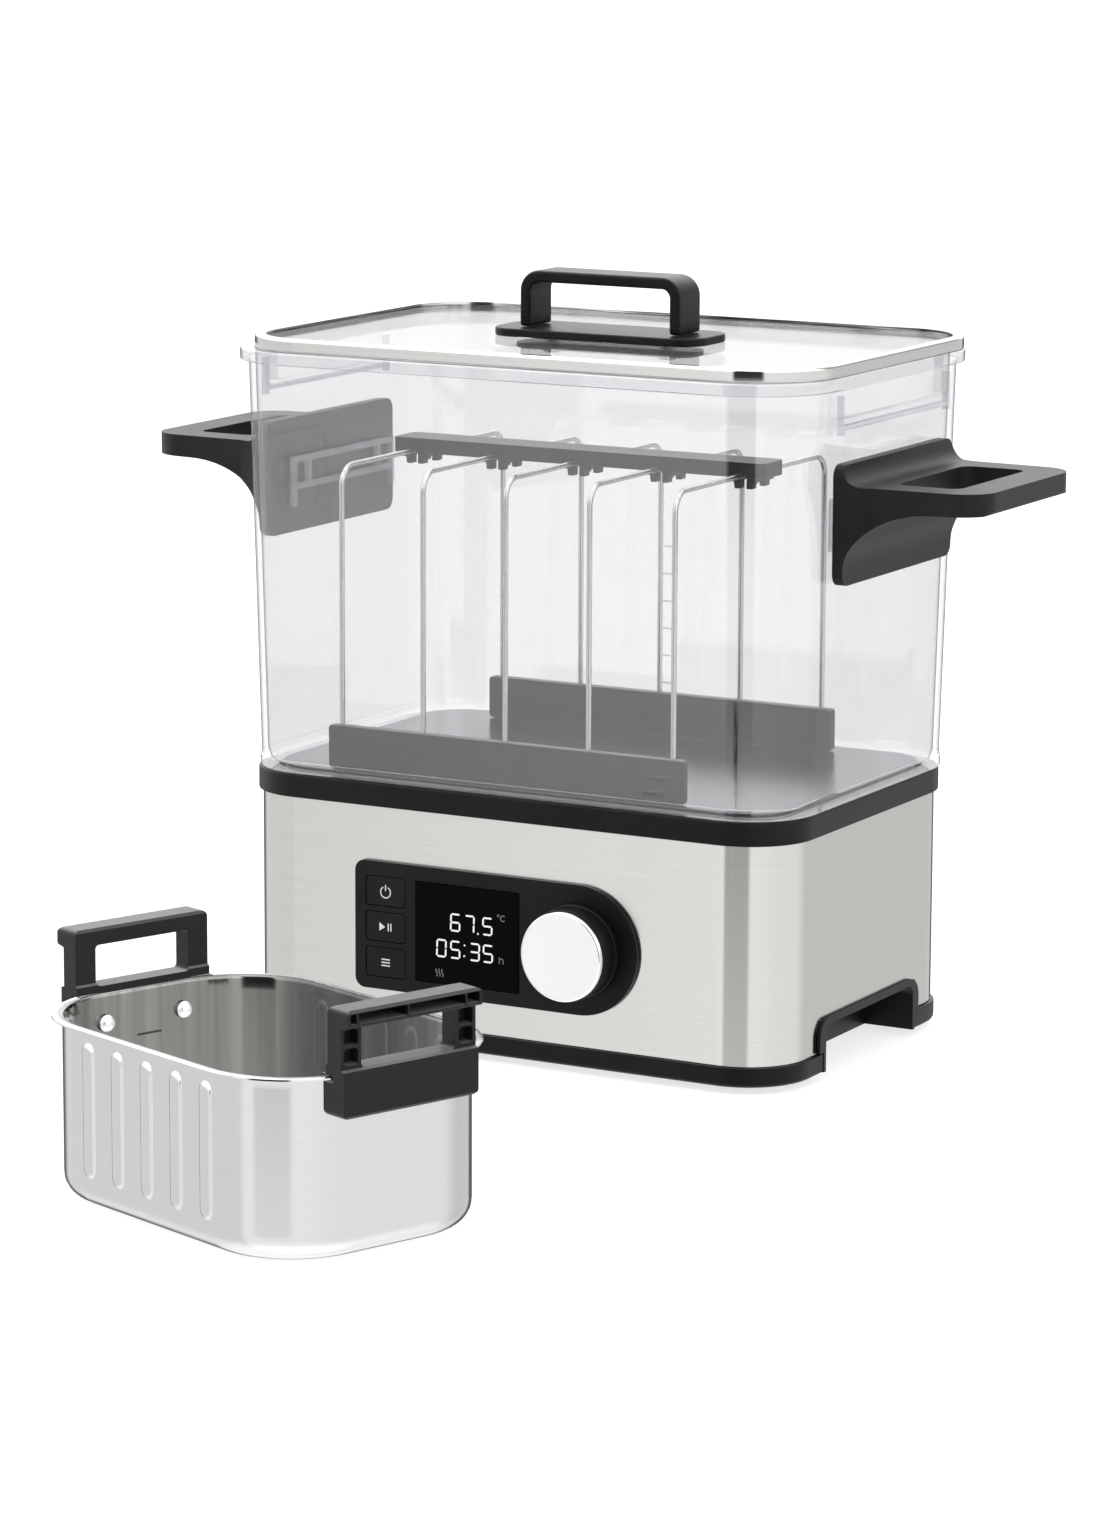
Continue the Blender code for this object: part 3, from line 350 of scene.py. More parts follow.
class Recipe:
    """One node tree, with one way to add a node to it."""

    def __init__(self, tree):
        self.tree = tree
        tree.nodes.clear()

    def node(self, kind, settings=None, values=None):
        made = self.tree.nodes.new(kind)
        for key, value in (settings or {}).items():
            setattr(made, key, value)
        for key, value in (values or {}).items():
            if isinstance(value, Field):
                value = value.socket
            if isinstance(value, bpy.types.NodeSocket):
                self.tree.links.new(value, made.inputs[key])
            else:
                made.inputs[key].default_value = value
        return made

    def number(self, kind, settings=None, values=None, output=0):
        return Field(self, self.node(kind, settings, values).outputs[output])

    def place(self):
        """Object coordinates as three fields and the vector."""
        vector = self.node("ShaderNodeTexCoord").outputs["Object"]
        parts = self.node("ShaderNodeSeparateXYZ", None, {0: vector}).outputs
        return vector, Field(self, parts[0]), Field(self, parts[1]), Field(self, parts[2])

    def stretched(self, vector, scale):
        return self.node("ShaderNodeMapping", None, {"Vector": vector, "Scale": scale}).outputs[0]

    def noise(self, vector, scale, detail=2.0, rough=0.5):
        values = {"Vector": vector, "Scale": scale, "Detail": detail, "Roughness": rough}
        return self.number("ShaderNodeTexNoise", None, values)

    def rings(self, across, deep, scale):
        """Fine turning marks round a middle."""
        radius = (across**2.0 + deep**2.0) ** 0.5
        settings = {"noise_dimensions": "1D"}
        return self.number("ShaderNodeTexNoise", settings, {"W": radius, "Scale": scale})

    def facing(self):
        """The face's direction as three fields."""
        normal = self.node("ShaderNodeNewGeometry").outputs["Normal"]
        parts = self.node("ShaderNodeSeparateXYZ", None, {0: normal}).outputs
        return Field(self, parts[0]), Field(self, parts[1]), Field(self, parts[2])

    def blend(self, share, first, second):
        """Colour between two colours."""
        settings = {"data_type": "RGBA", "clamp_factor": True}
        return self.node("ShaderNodeMix", settings, {0: share, 6: first, 7: second}).outputs[2]

    def bump(self, height, distance, strength=1.0):
        values = {"Height": height, "Distance": distance, "Strength": strength}
        return self.node("ShaderNodeBump", None, values).outputs[0]

    def surface(self, **values):
        """Principled shader wired to the output; names are given with underscores."""
        named = {key.replace("_", " "): value for key, value in values.items()}
        shader = self.node("ShaderNodeBsdfPrincipled", None, named)
        self.show(shader.outputs[0])
        return shader

    def show(self, socket):
        self.node("ShaderNodeOutputMaterial", None, {"Surface": socket})


FINISHES = {}


def finish(name):
    """The named finish, made once."""
    if name not in FINISHES:
        material = bpy.data.materials.new("finish_" + name)
        material.use_nodes = True
        RECIPES[name](Recipe(material.node_tree), bpy.context.scene.cooker_colours)
        FINISHES[name] = material
    return FINISHES[name]


def tint(colour):
    return (*colour, 1.0)


def moulded(recipe, colour, rough, grain, top=0.0):
    """Satin moulding with spark-eroded grain and faint clouds; upward faces can take a painted
    highlight.
    """
    vector, _, _, _ = recipe.place()
    fine = recipe.noise(vector, 2600.0, 3.0, 0.6)
    cloud = recipe.noise(vector, 26.0, 3.0, 0.55)
    paler = tuple(part * 1.35 + 0.001 for part in colour)
    shade = recipe.blend(cloud.step(0.35, 0.75), tint(colour), tint(paler))
    # Painted highlight: faces that look up are blended toward a paler grey, standing in for light from
    # above.
    if top:
        _, _, upward = recipe.facing()
        shade = recipe.blend(upward.step(0.55, 0.95), shade, (top, top, top * 1.06, 1.0))
    recipe.surface(
        Base_Color=shade,
        Roughness=rough + (cloud - 0.5) * 0.10 + (fine - 0.5) * 0.06,
        Specular_Tint=(0.24, 0.24, 0.24, 1.0),
        Normal=recipe.bump(fine, grain),
    )


def black_moulding(recipe, colours):
    moulded(recipe, colours.black, 0.40, 0.00003)


def charcoal_moulding(recipe, colours):
    moulded(recipe, colours.charcoal, 0.44, 0.00003)


# The rack, strap and hook finishes are the black and charcoal mouldings with a painted highlight on
# their tops.
def rack_moulding_painted_top(recipe, colours):
    moulded(recipe, colours.black, 0.42, 0.00003, 0.10)


def strap_moulding_painted_top(recipe, colours):
    moulded(recipe, colours.black, 0.40, 0.00003, 0.030)


def hook_moulding_painted_top(recipe, colours):
    moulded(recipe, colours.charcoal, 0.44, 0.00003, 0.110)


def grained(recipe, dark, pale, scale, rough, spread, detail=3.0, fine=0.5, metal=0.0, relief=0.0):
    """Even grain in colour and gloss, and in relief where it can be felt."""
    vector, _, _, _ = recipe.place()
    grain = recipe.noise(vector, scale, detail, fine)
    felt = {"Normal": recipe.bump(grain, relief)} if relief else {}
    recipe.surface(
        Base_Color=recipe.blend(grain, tint(dark), tint(pale)),
        Metallic=metal,
        Roughness=rough + grain * spread,
        **felt,
    )


def rubber(recipe, colours):
    dark, pale = (0.016, 0.016, 0.017), (0.034, 0.034, 0.035)
    grained(recipe, dark, pale, 1400.0, 0.72, 0.16, detail=4.0, fine=0.6, relief=0.00006)


def silicone(recipe, colours):
    grained(recipe, (0.50, 0.51, 0.53), (0.62, 0.63, 0.65), 60.0, 0.50, 0.15, relief=0.00005)


def gloss_black(recipe, colours):
    """Display window: deep gloss with a few faint wipe marks."""
    vector, _, _, _ = recipe.place()
    wipe = recipe.noise(recipe.stretched(vector, (30.0, 30.0, 140.0)), 1.0, 3.0)
    recipe.surface(
        Base_Color=recipe.blend(wipe, (0.0015, 0.0015, 0.0018, 1.0), (0.0025, 0.0025, 0.0030, 1.0)),
        Roughness=0.14 + wipe * 0.06,
        Specular_IOR_Level=0.02,
    )


def painted_inside_shade(recipe, shade):
    """Inside walls of the pan get painted shade and reflection: a darker, streaked colour, deepest
    through the middle of the pan.
    """
    vector, x, y, _ = recipe.place()
    facing_x, facing_y, _ = recipe.facing()
    across, deep = x - PAN.x, y - PAN.y
    outward = across * facing_x + deep * facing_y
    along = across * math.cos(PAN_YAW) + deep * math.sin(PAN_YAW)
    streak = recipe.noise(recipe.stretched(vector, (90.0, 90.0, 3.0)), 1.0, 3.0, 0.6)
    # Painted shade: the inside is darkest through the middle of the pan and lighter towards both ends.
    grey = 0.25 - along.step(-0.080, -0.045) * 0.15 + along.step(0.015, 0.060) * 0.14
    skin = recipe.blend(grey * (streak * 1.4 + 0.3), (0.0, 0.0, 0.0, 1.0), (0.97, 0.94, 0.90, 1.0))
    return recipe.blend((0.0 - outward).step(0.001, 0.006), shade, skin)


def brushed(recipe, colour, rough, stretch, inside=None):
    """Level brushing: long streaks at two widths, in colour, gloss and relief."""
    vector, _, _, _ = recipe.place()
    hair = recipe.noise(recipe.stretched(vector, (9.0, 9.0, 4200.0)), 1.0, 3.0, 0.65)
    streak = recipe.noise(recipe.stretched(vector, (7.0, 7.0, 1500.0)), 1.0, 3.0, 0.6)
    cloud = recipe.noise(vector, 9.0, 2.0)
    darker = tuple(part * 0.94 for part in colour)
    share = hair * 0.45 + streak * 0.35 + cloud * 0.20
    shade = recipe.blend(share.step(0.30, 0.70), tint(darker), tint(colour))
    # Where an inside function is given, it paints shade into the colour of the inside walls.
    recipe.surface(
        Base_Color=inside(recipe, shade) if inside else shade,
        Metallic=1.0,
        Roughness=rough + (hair - 0.5) * 0.06 + (streak - 0.5) * 0.04,
        Anisotropic=stretch,
        Anisotropic_Rotation=0.25,
        Normal=recipe.bump(hair * 0.6 + streak * 0.4, 0.000005),
    )


def brushed_steel(recipe, colours):
    brushed(recipe, colours.steel, 0.17, 0.85)


def pan_steel(recipe, colours):
    brushed(recipe, colours.pan, 0.14, 0.60, painted_inside_shade)


def floor_steel(recipe, colours):
    """Cooking plate: satin with round polishing marks about its middle."""
    vector, x, y, _ = recipe.place()
    lines = recipe.rings(x - TANK.x, y - TANK.y, 1900.0)
    dark, pale = (0.095, 0.097, 0.108), (0.150, 0.153, 0.168)
    cloud = recipe.noise(vector, 14.0, 3.0)
    recipe.surface(
        Base_Color=recipe.blend(lines * 0.6 + cloud * 0.4, tint(dark), tint(pale)),
        Metallic=1.0,
        Roughness=0.17 + lines * 0.06 + cloud * 0.05,
        Normal=recipe.bump(lines, 0.000006),
    )


def polished_steel(recipe, colours):
    vector, _, _, _ = recipe.place()
    drawn = recipe.noise(recipe.stretched(vector, (6.0, 6.0, 1700.0)), 1.0, 3.0, 0.6)
    smudge = recipe.noise(vector, 38.0, 4.0, 0.6)
    darker = tuple(part * 0.86 for part in colours.polished)
    recipe.surface(
        Base_Color=recipe.blend(drawn, tint(darker), tint(colours.polished)),
        Metallic=1.0,
        Roughness=0.07 + drawn * 0.05 + smudge.step(0.45, 0.8) * 0.05,
        Normal=recipe.bump(drawn, 0.000005),
    )


def painted_reflection_steel(recipe, colours):
    """Inside of the lid's rim: polished, with painted dark streaks standing in for reflection."""
    vector, _, _, _ = recipe.place()
    streak = recipe.noise(recipe.stretched(vector, (14.0, 14.0, 900.0)), 1.0, 3.0, 0.6)
    dark, pale = (0.05, 0.05, 0.05), (0.46, 0.45, 0.44)
    recipe.surface(
        Base_Color=recipe.blend(streak.step(0.38, 0.62), tint(dark), tint(pale)),
        Metallic=1.0,
        Roughness=0.12 + streak * 0.08,
    )


def rivet_steel(recipe, colours):
    grained(recipe, (0.80, 0.80, 0.79), (0.92, 0.92, 0.91), 700.0, 0.34, 0.10, metal=0.75)


def wire_steel(recipe, colours):
    vector, _, _, _ = recipe.place()
    drawn = recipe.noise(recipe.stretched(vector, (2600.0, 2600.0, 40.0)), 1.0, 3.0)
    recipe.surface(
        Base_Color=recipe.blend(drawn, (0.70, 0.70, 0.70, 1.0), (0.86, 0.86, 0.85, 1.0)),
        Metallic=1.0,
        Roughness=0.20 + drawn * 0.12,
        Normal=recipe.bump(drawn, 0.000008),
    )


def mirror_chrome(recipe, colours):
    vector, x, _, z = recipe.place()
    lines = recipe.rings(x - KNOB.x, z - KNOB.z, 2400.0)
    smudge = recipe.noise(vector, 90.0, 3.0)
    recipe.surface(
        Base_Color=recipe.blend(lines, (0.81, 0.81, 0.815, 1.0), (0.87, 0.87, 0.875, 1.0)),
        Metallic=1.0,
        Roughness=0.045 + lines * 0.02 + smudge.step(0.55, 0.85) * 0.03,
    )


def cast_aluminium(recipe, colours):
    dark, pale = (0.54, 0.55, 0.56), (0.70, 0.71, 0.72)
    grained(recipe, dark, pale, 900.0, 0.38, 0.16, detail=4.0, fine=0.65, metal=1.0, relief=0.00005)


def brass(recipe, colours):
    grained(recipe, (0.60, 0.47, 0.22), (0.74, 0.60, 0.32), 500.0, 0.22, 0.12, metal=1.0)


def circuit_board(recipe, colours):
    """Green laminate with paler copper runs under the lacquer."""
    vector, _, _, _ = recipe.place()
    cells = recipe.number(
        "ShaderNodeTexVoronoi", {"distance": "CHEBYCHEV"}, {"Vector": vector, "Scale": 210.0}
    )
    runs = cells.step(0.30, 0.36)
    recipe.surface(
        Base_Color=recipe.blend(runs, (0.018, 0.085, 0.045, 1.0), (0.045, 0.170, 0.085, 1.0)),
        Roughness=0.34 + runs * 0.12,
        Normal=recipe.bump(runs, 0.00004),
    )


def see_through(recipe, clear, veil, strength, most, painted_edge_shade, solid_from=9.0):
    """Clear sheet: mirrors more at a slant, is greyer in the solid rim, and takes painted shade that
    turns it grey edge on.
    """
    vector, _, _, z = recipe.place()
    slant = recipe.number("ShaderNodeLayerWeight", None, {"Blend": 0.5}, 1)
    wave = recipe.noise(vector, 90.0, 3.0)
    # Painted shade: where the sheet is seen edge on, a grey coat is mixed in, standing in for the dark
    # lines that reflection inside a clear wall makes.
    rim = slant.step(0.70, 0.97)
    mirror = strength + (most - strength) * slant**5.0
    solid = z.step(solid_from - 0.0005, solid_from + 0.0005)
    cloudy = (wave * 2.4 - 0.2) * veil + rim * painted_edge_shade + solid * 0.16
    through = recipe.node("ShaderNodeBsdfTransparent", None, {"Color": tint(clear)}).outputs[0]
    gloss = {"Color": (1.0, 1.0, 1.0, 1.0), "Roughness": 0.03}
    shine = recipe.node("ShaderNodeBsdfGlossy", None, gloss).outputs[0]
    # The coat's colour goes dark grey edge on, as painted shade, and also in the solid rim.
    colour = recipe.blend(rim + solid * 0.75, (0.86, 0.86, 0.89, 1.0), (0.20, 0.20, 0.24, 1.0))
    cloud = {"Base Color": colour, "Roughness": 0.45}
    body = recipe.node("ShaderNodeBsdfPrincipled", None, cloud).outputs[0]
    inner = recipe.node("ShaderNodeMixShader", None, {0: cloudy, 1: through, 2: body}).outputs[0]
    recipe.show(
        recipe.node("ShaderNodeMixShader", None, {0: mirror, 1: inner, 2: shine}).outputs[0]
    )


def clear_plastic(recipe, colours):
    see_through(recipe, colours.tank, 0.006, 0.082, 0.75, 0.62, 0.3131)


def clear_glass(recipe, colours):
    see_through(recipe, (0.900, 0.902, 0.902), 0.012, 0.045, 0.40, 0.10)


def moulded_mark(recipe, colours):
    """Raised clear moulding that catches the light."""
    see_through(recipe, (0.84, 0.84, 0.87), 0.16, 0.10, 0.60, 0.20)


def glow(recipe, colour, strength):
    vector, _, _, _ = recipe.place()
    even = recipe.noise(vector, 700.0, 2.0)
    recipe.surface(
        Base_Color=(0.02, 0.02, 0.02, 1.0),
        Emission_Color=recipe.blend(even, tint(tuple(p * 0.94 for p in colour)), tint(colour)),
        Emission_Strength=strength,
        Roughness=0.4,
    )


def lit_digits(recipe, colours):
    glow(recipe, colours.digits, 0.95)


def dim_digits(recipe, colours):
    glow(recipe, colours.digits, 0.16)


def printed_white(recipe, colours):
    grained(recipe, (0.44, 0.44, 0.44), (0.56, 0.56, 0.56), 1500.0, 0.48, 0.10, detail=2.0)


def etched_mark(recipe, colours):
    grained(recipe, (0.010, 0.010, 0.011), (0.022, 0.022, 0.023), 1500.0, 0.50, 0.10, detail=2.0)


def stage_floor(recipe, colours):
    vector, _, _, _ = recipe.place()
    soft = recipe.noise(vector, 3.0, 2.0)
    recipe.surface(
        Base_Color=recipe.blend(soft, (0.30, 0.30, 0.30, 1.0), (0.32, 0.32, 0.32, 1.0)),
        Roughness=0.85,
        Specular_IOR_Level=0.1,
        Emission_Color=(1.0, 1.0, 1.0, 1.0),
        Emission_Strength=0.74,
    )


RECIPES = {
    "black": black_moulding,
    "charcoal": charcoal_moulding,
    "rack": rack_moulding_painted_top,
    "strap": strap_moulding_painted_top,
    "hook": hook_moulding_painted_top,
    "rubber": rubber,
    "silicone": silicone,
    "gloss": gloss_black,
    "steel": brushed_steel,
    "pan": pan_steel,
    "floor_plate": floor_steel,
    "polished": polished_steel,
    "painted_reflection_steel": painted_reflection_steel,
    "rivet": rivet_steel,
    "wire": wire_steel,
    "chrome": mirror_chrome,
    "aluminium": cast_aluminium,
    "brass": brass,
    "board": circuit_board,
    "tank": clear_plastic,
    "glass": clear_glass,
    "moulded_mark": moulded_mark,
    "lit": lit_digits,
    "dim": dim_digits,
    "print": printed_white,
    "etched": etched_mark,
    "stage": stage_floor,
}


# Sizes and colours that a user may change


class CookerSizes(bpy.types.PropertyGroup):
    tank_wall: FloatProperty(
        name="Tank wall", description="Thickness of the clear tank's wall",
        default=0.0030, unit="LENGTH",
    )
    rib_rise: FloatProperty(
        name="Rib height", description="How far the pan's ribs stand out",
        default=0.0013, unit="LENGTH",
    )
    wire_radius: FloatProperty(
        name="Wire radius", description="Radius of the rack's wires", default=0.00125, unit="LENGTH"
    )
    digit_height: FloatProperty(
        name="Digit height", description="Height of the display's digits",
        default=0.0085, unit="LENGTH",
    )
    digit_stroke: FloatProperty(
        name="Digit stroke", description="Width of a digit's segments",
        default=0.00082, unit="LENGTH",
    )


class CookerColours(bpy.types.PropertyGroup):
    black: FloatVectorProperty(
        name="Black plastic", description="Base, collar and lid handle", subtype="COLOR",
        default=(0.0040, 0.0040, 0.0043),
    )
    charcoal: FloatVectorProperty(
        name="Charcoal plastic", description="Tank and pan handles", subtype="COLOR",
        default=(0.0078, 0.0084, 0.0087),
    )
    steel: FloatVectorProperty(
        name="Brushed steel", description="Heating base's sleeve", subtype="COLOR",
        default=(0.655, 0.645, 0.625),
    )
    pan: FloatVectorProperty(
        name="Pan steel", description="Insert pan", subtype="COLOR", default=(0.690, 0.685, 0.675)
    )
    polished: FloatVectorProperty(
        name="Polished steel", description="Lid rim and rivets", subtype="COLOR",
        default=(0.69, 0.685, 0.67),
    )
    tank: FloatVectorProperty(
        name="Tank tint", description="Light that one face of the tank lets through",
        subtype="COLOR", default=(0.908, 0.908, 0.913),
    )
    digits: FloatVectorProperty(
        name="Digits", description="Light of the display", subtype="COLOR", default=(
            0.95, 0.98, 1.0
        )
    )


# Heating base


def side_name(side):
    return "right" if side > 0 else "left"


def panel_outline(inset=0.0):
    """D shape: rounded square left end, half circle at the right end."""
    left, low, high, corner = -0.0760 + inset, 0.0276 + inset, 0.0876 - inset, 0.0050 - inset
    reach = (high - low) / 2
    return [
        *arc((0.0410, (low + high) / 2), reach, -90, 90, 36),
        *arc((left + corner, high - corner), corner, 90, 180, 6),
        *arc((left + corner, low + corner), corner, 180, 270, 6),
    ]


class COOKER_OT_sleeve(bpy.types.Operator):
    """Brushed steel sleeve with its openings"""

    bl_idname = "cooker.sleeve"
    bl_label = "Steel sleeve"

    def execute(self, context):
        section = [(0.0300, 0.0125), (0.0300, 0.1126), (0.0290, 0.1126), (0.0290, 0.0125)]
        sleeve = ring_round("steel_wrap", section, steps=16, closed=True)
        tools = [plate("hole", panel_outline(0.0030), "Y", -0.1000, -0.0880)]
        for side in (-1, 1):
            outline = rounded((-0.0484, -0.0300), (0.0484, 0.0274), 0.0080)
            tools.append(plate("notch", outline, "X", side * 0.1300, side * 0.1500))
        tools.append(block("hole", (0.0711, 0.0989), (0.0880, 0.0980), (0.0289, 0.0511)))
        cut(sleeve, *tools)
        finished(sleeve, "sleeve", AT_BASE, "base", "steel", "steel_sleeve")
        return {"FINISHED"}


class COOKER_OT_tray(bpy.types.Operator):
    """Bottom tray, side grips, feet and case screws"""

    bl_idname = "cooker.tray"
    bl_label = "Tray and grips"

    def execute(self, context):
        section = [(0.0296, 0.0030), *arc((0.0296, 0.0050), 0.0020, -80, 0, 5), (0.0316, 0.0116)]
        section += [(0.0314, 0.0120), (0.0310, 0.0122), (0.0286, 0.0122), (0.0286, 0.0200)]
        section += [(0.0266, 0.0200), (0.0266, 0.0056)]
        tray = ring_round("tray_body", section, steps=14)
        for side in (-1, 1):
            edges = sorted((side * 0.1141, side * 0.1600))
            cut(tray, block("notch", edges, (-0.0484, 0.0484), (-0.0100, 0.0300)))
        finished(tray, "tray", AT_BASE, "base", "black", "bottom_tray")
        self.grips()
        self.feet()
        for index in range(1, 5):
            dress("case_screw_%d" % index, "polished")
        return {"FINISHED"}

    def grips(self):
        """Arched frame round a deep finger recess, at both ends."""
        grip = block("grip", (0.1150, 0.1419), (-0.048, 0.048), (0.0034, 0.0270))
        arch = [(-0.0520, 0.0126), (0.0520, 0.0126)]
        arch += arc((0.0430, 0.0189), 0.0090, 0, 90, 8)
        arch += arc((-0.0430, 0.0189), 0.0090, 90, 180, 8)
        cut(grip, plate("arch", arch, "X", 0.1403, 0.1419), operation="UNION")
        outline = rounded((-0.0458, -0.0300), (0.0458, 0.0248), 0.0050)
        cut(grip, plate("hollow", outline, "X", 0.1172, 0.1600))
        soften(grip, 0.0005, 2, 40.0)
        both_ends(grip, "grip_%s", AT_BASE, "base", "black", "side_grip_%s")

    def feet(self):
        section = [(0.0, 0.0), (0.0052, 0.0), *arc((0.0064, 0.0012), 0.0012, -90, 0, 4)]
        section += [(0.0080, 0.0022), (0.0080, 0.0027), (0.0, 0.0027)]
        spots = []
        for index, (sign_x, sign_y) in enumerate(((-1, -1), (1, -1), (-1, 1), (1, 1)), 1):
            place = AT_BASE @ Matrix.Translation((sign_x * 0.1120, sign_y * 0.0715, 0.0))
            spots.append(("rubber_foot_%d" % index, place, ["foot_%d" % index]))
        copies(turned("foot_body", section, steps=40), spots, "base", "rubber")


class COOKER_OT_collar(bpy.types.Operator):
    """Black collar that the tank stands in, and the heater under it"""

    bl_idname = "cooker.collar"
    bl_label = "Collar and heater"

    def execute(self, context):
        section = [(0.0315, 0.1129), (0.0319, 0.1131), (0.0320, 0.1136), (0.0320, 0.1228)]
        section += [*arc((0.0308, 0.1228), 0.0012, 20, 90, 4), (0.0252, 0.1240), (0.0247, 0.1238)]
        section += [
            (0.0245, 0.1233), (0.0245, 0.1187), (0.0243, 0.1185), (0.0105, 0.1185), (0.0105, 0.1129),
        ]
        collar = ring_round("collar_body", section, steps=16, closed=True)
        finished(collar, "collar", AT_BASE, "base", "black", "top_collar")
        dress("heater_plate", "aluminium")
        dress("heating_element", "polished")
        dress("temperature_sensor", "aluminium")
        dress("encoder", "aluminium")
        dress("control_board", "board")
        dress("power_board", "board")
        return {"FINISHED"}


class COOKER_OT_inlet(bpy.types.Operator):
    """Mains inlet at the back, with its three contact pins"""

    bl_idname = "cooker.inlet"
    bl_label = "Mains inlet"

    def execute(self, context):
        flange = plate(
            "inlet_body", rounded((0.0695, 0.0270), (0.1005, 0.0530), 0.0028), "Y", 0.0928, 0.0948
        )
        body = plate(
            "body", rounded((0.0716, 0.0294), (0.0984, 0.0506), 0.0020), "Y", 0.0700, 0.0940
        )
        cut(flange, body, operation="UNION")
        cut(
            flange,
            plate("recess", rounded((0.0735, 0.0312), (0.0965, 0.0488), 0.0020), "Y", 0.0780, 0.0990),
        )
        soften(flange, 0.0005, 2, 40.0)
        finished(flange, "inlet", AT_BASE, "base", "black", "mains_inlet")
        pins = []
        for x, z in ((0.0780, 0.0380), (0.0850, 0.0430), (0.0920, 0.0380)):
            pins.append(
                block("pin", (x - 0.001, x + 0.001), (0.0781, 0.0910), (z - 0.002, z + 0.002))
            )
        group = soften(joined("pins", *pins), 0.0004, 2)
        finished(group, "inlet_pins", AT_BASE, "base", "brass")
        return {"FINISHED"}


# Control panel

SEGMENTS = {
    "0": "abcdef",
    "3": "abcdg",
    "5": "acdfg",
    "6": "acdefg",
    "7": "abc",
}


def stroke(start, end, width):
    """Outline of one segment: a bar with pointed ends, in (x, z)."""
    a, b = Vector(start), Vector(end)
    along = (b - a).normalized()
    across = Vector((-along.y, along.x)) * width / 2
    tip = along * width / 2
    upper = [a + tip + across, b - tip + across]
    lower = [b - tip - across, a + tip - across]
    return [tuple(point) for point in (a, *upper, b, *lower)]


def digit(character, left, low, width, height, thick):
    """Seven-segment digit as a list of outlines, leaning a little to the right."""
    right, top, half = left + width, low + height, low + height / 2
    ends = {
        "a": ((left, top), (right, top)),
        "b": ((right, half), (right, top)),
        "c": ((right, low), (right, half)),
        "d": ((left, low), (right, low)),
        "e": ((left, low), (left, half)),
        "f": ((left, half), (left, top)),
        "g": ((left, half), (right, half)),
    }
    found = []
    for key in SEGMENTS[character]:
        lean = [(x + (z - low) * 0.03, z) for x, z in ends[key]]
        start, end = Vector(lean[0]), Vector(lean[1])
        gap = (end - start).normalized() * 0.00012
        found.append(stroke(start + gap, end - gap, thick))
    return found


def inlay(name, outlines, place, body, material, low, high):
    """Thin marks standing a hair proud of the face they sit on."""
    parts = [plate("mark", outline, "Y", low, high) for outline in outlines]
    return finished(joined(name, *parts), name, place, body, material)


def ring_outline(centre, radius, width, start, end, count=28):
    """Open ring as one outline: the outer arc, then the inner arc back."""
    outer = arc(centre, radius + width / 2, start, end, count)
    return outer + arc(centre, radius - width / 2, end, start, count)


class COOKER_OT_panel(bpy.types.Operator):
    """D-shaped panel with the display window and its digits"""

    bl_idname = "cooker.panel"
    bl_label = "Control panel"

    def execute(self, context):
        bezel = plate("panel_body", panel_outline(), "Y", -0.0928, -0.0948)
        tools = [
            plate("hole", rounded((-0.04395, 0.03365), (0.01065, 0.08075), 0.0010), "Y", -0.1, -0.09),
        ]
        for z in (0.0737, 0.0571, 0.0404):
            outline = rounded((-0.07045, z - 0.00715), (-0.04915, z + 0.00715), 0.0018)
            tools.append(plate("hole", outline, "Y", -0.1, -0.09))
        tools.append(plate("hole", arc((0.0410, 0.0576), 0.0045, 0, 345, 23), "Y", -0.1, -0.09))
        cut(bezel, *tools)
        soften(bezel, 0.00045, 3, 40.0)
        finished(bezel, "panel", AT_BASE, "base", "black", "front_bezel")
        window = plate(
            "window", rounded((-0.0436, 0.0340), (0.0103, 0.0804), 0.0010), "Y", -0.0932, -0.0948
        )
        soften(window, 0.00015, 2)
        finished(window, "display", AT_BASE, "base", "gloss", "display_window")
        self.digits(context.scene.cooker_sizes)
        return {"FINISHED"}

    def digits(self, sizes):
        tall, thick = sizes.digit_height, sizes.digit_stroke
        lit = []
        for character, left in (("6", -0.0252), ("7", -0.0178), ("5", -0.0084)):
            lit += digit(character, left, 0.0595, 0.0046, tall - thick, thick)
        for character, left in (("0", -0.0325), ("5", -0.0252), ("3", -0.0150), ("5", -0.0081)):
            lit += digit(character, left, 0.0468, 0.0046, tall - thick, thick)
        lit += [rounded((x - 0.0004, z - 0.0004), (x + 0.0004, z + 0.0004), 0.0002, 2)
                for x, z in ((-0.0109, 0.0594), (-0.0181, 0.0482), (-0.0179, 0.0532))]
        face = (-0.09476, -0.09486)
        inlay("digits", lit, AT_BASE, "base", "lit", *face)
        dim = [ring_outline((-0.0003, 0.0690), 0.00045, 0.0003, 0, 340, 14)]
        dim.append(ring_outline((0.0022, 0.0679), 0.0013, 0.0004, 50, 310, 16))
        dim += [
            stroke((0.0003, 0.0466), (0.0003, 0.0498), 0.0004),
            stroke((0.0023, 0.0466), (0.0023, 0.0481), 0.0004),
        ]
        dim.append(ring_outline((0.0013, 0.0481), 0.0010, 0.0004, 0, 180, 10))
        for x in (-0.0326, -0.0311, -0.0296):
            wave = [(x + 0.0004 * math.sin(i * math.pi / 4), 0.0372 + i * 0.00045) for i in range(9)]
            left_side = [(u - 0.00022, v) for u, v in wave]
            dim.append(left_side + [(u + 0.00022, v) for u, v in reversed(wave)])
        inlay("units", dim, AT_BASE, "base", "dim", *face)


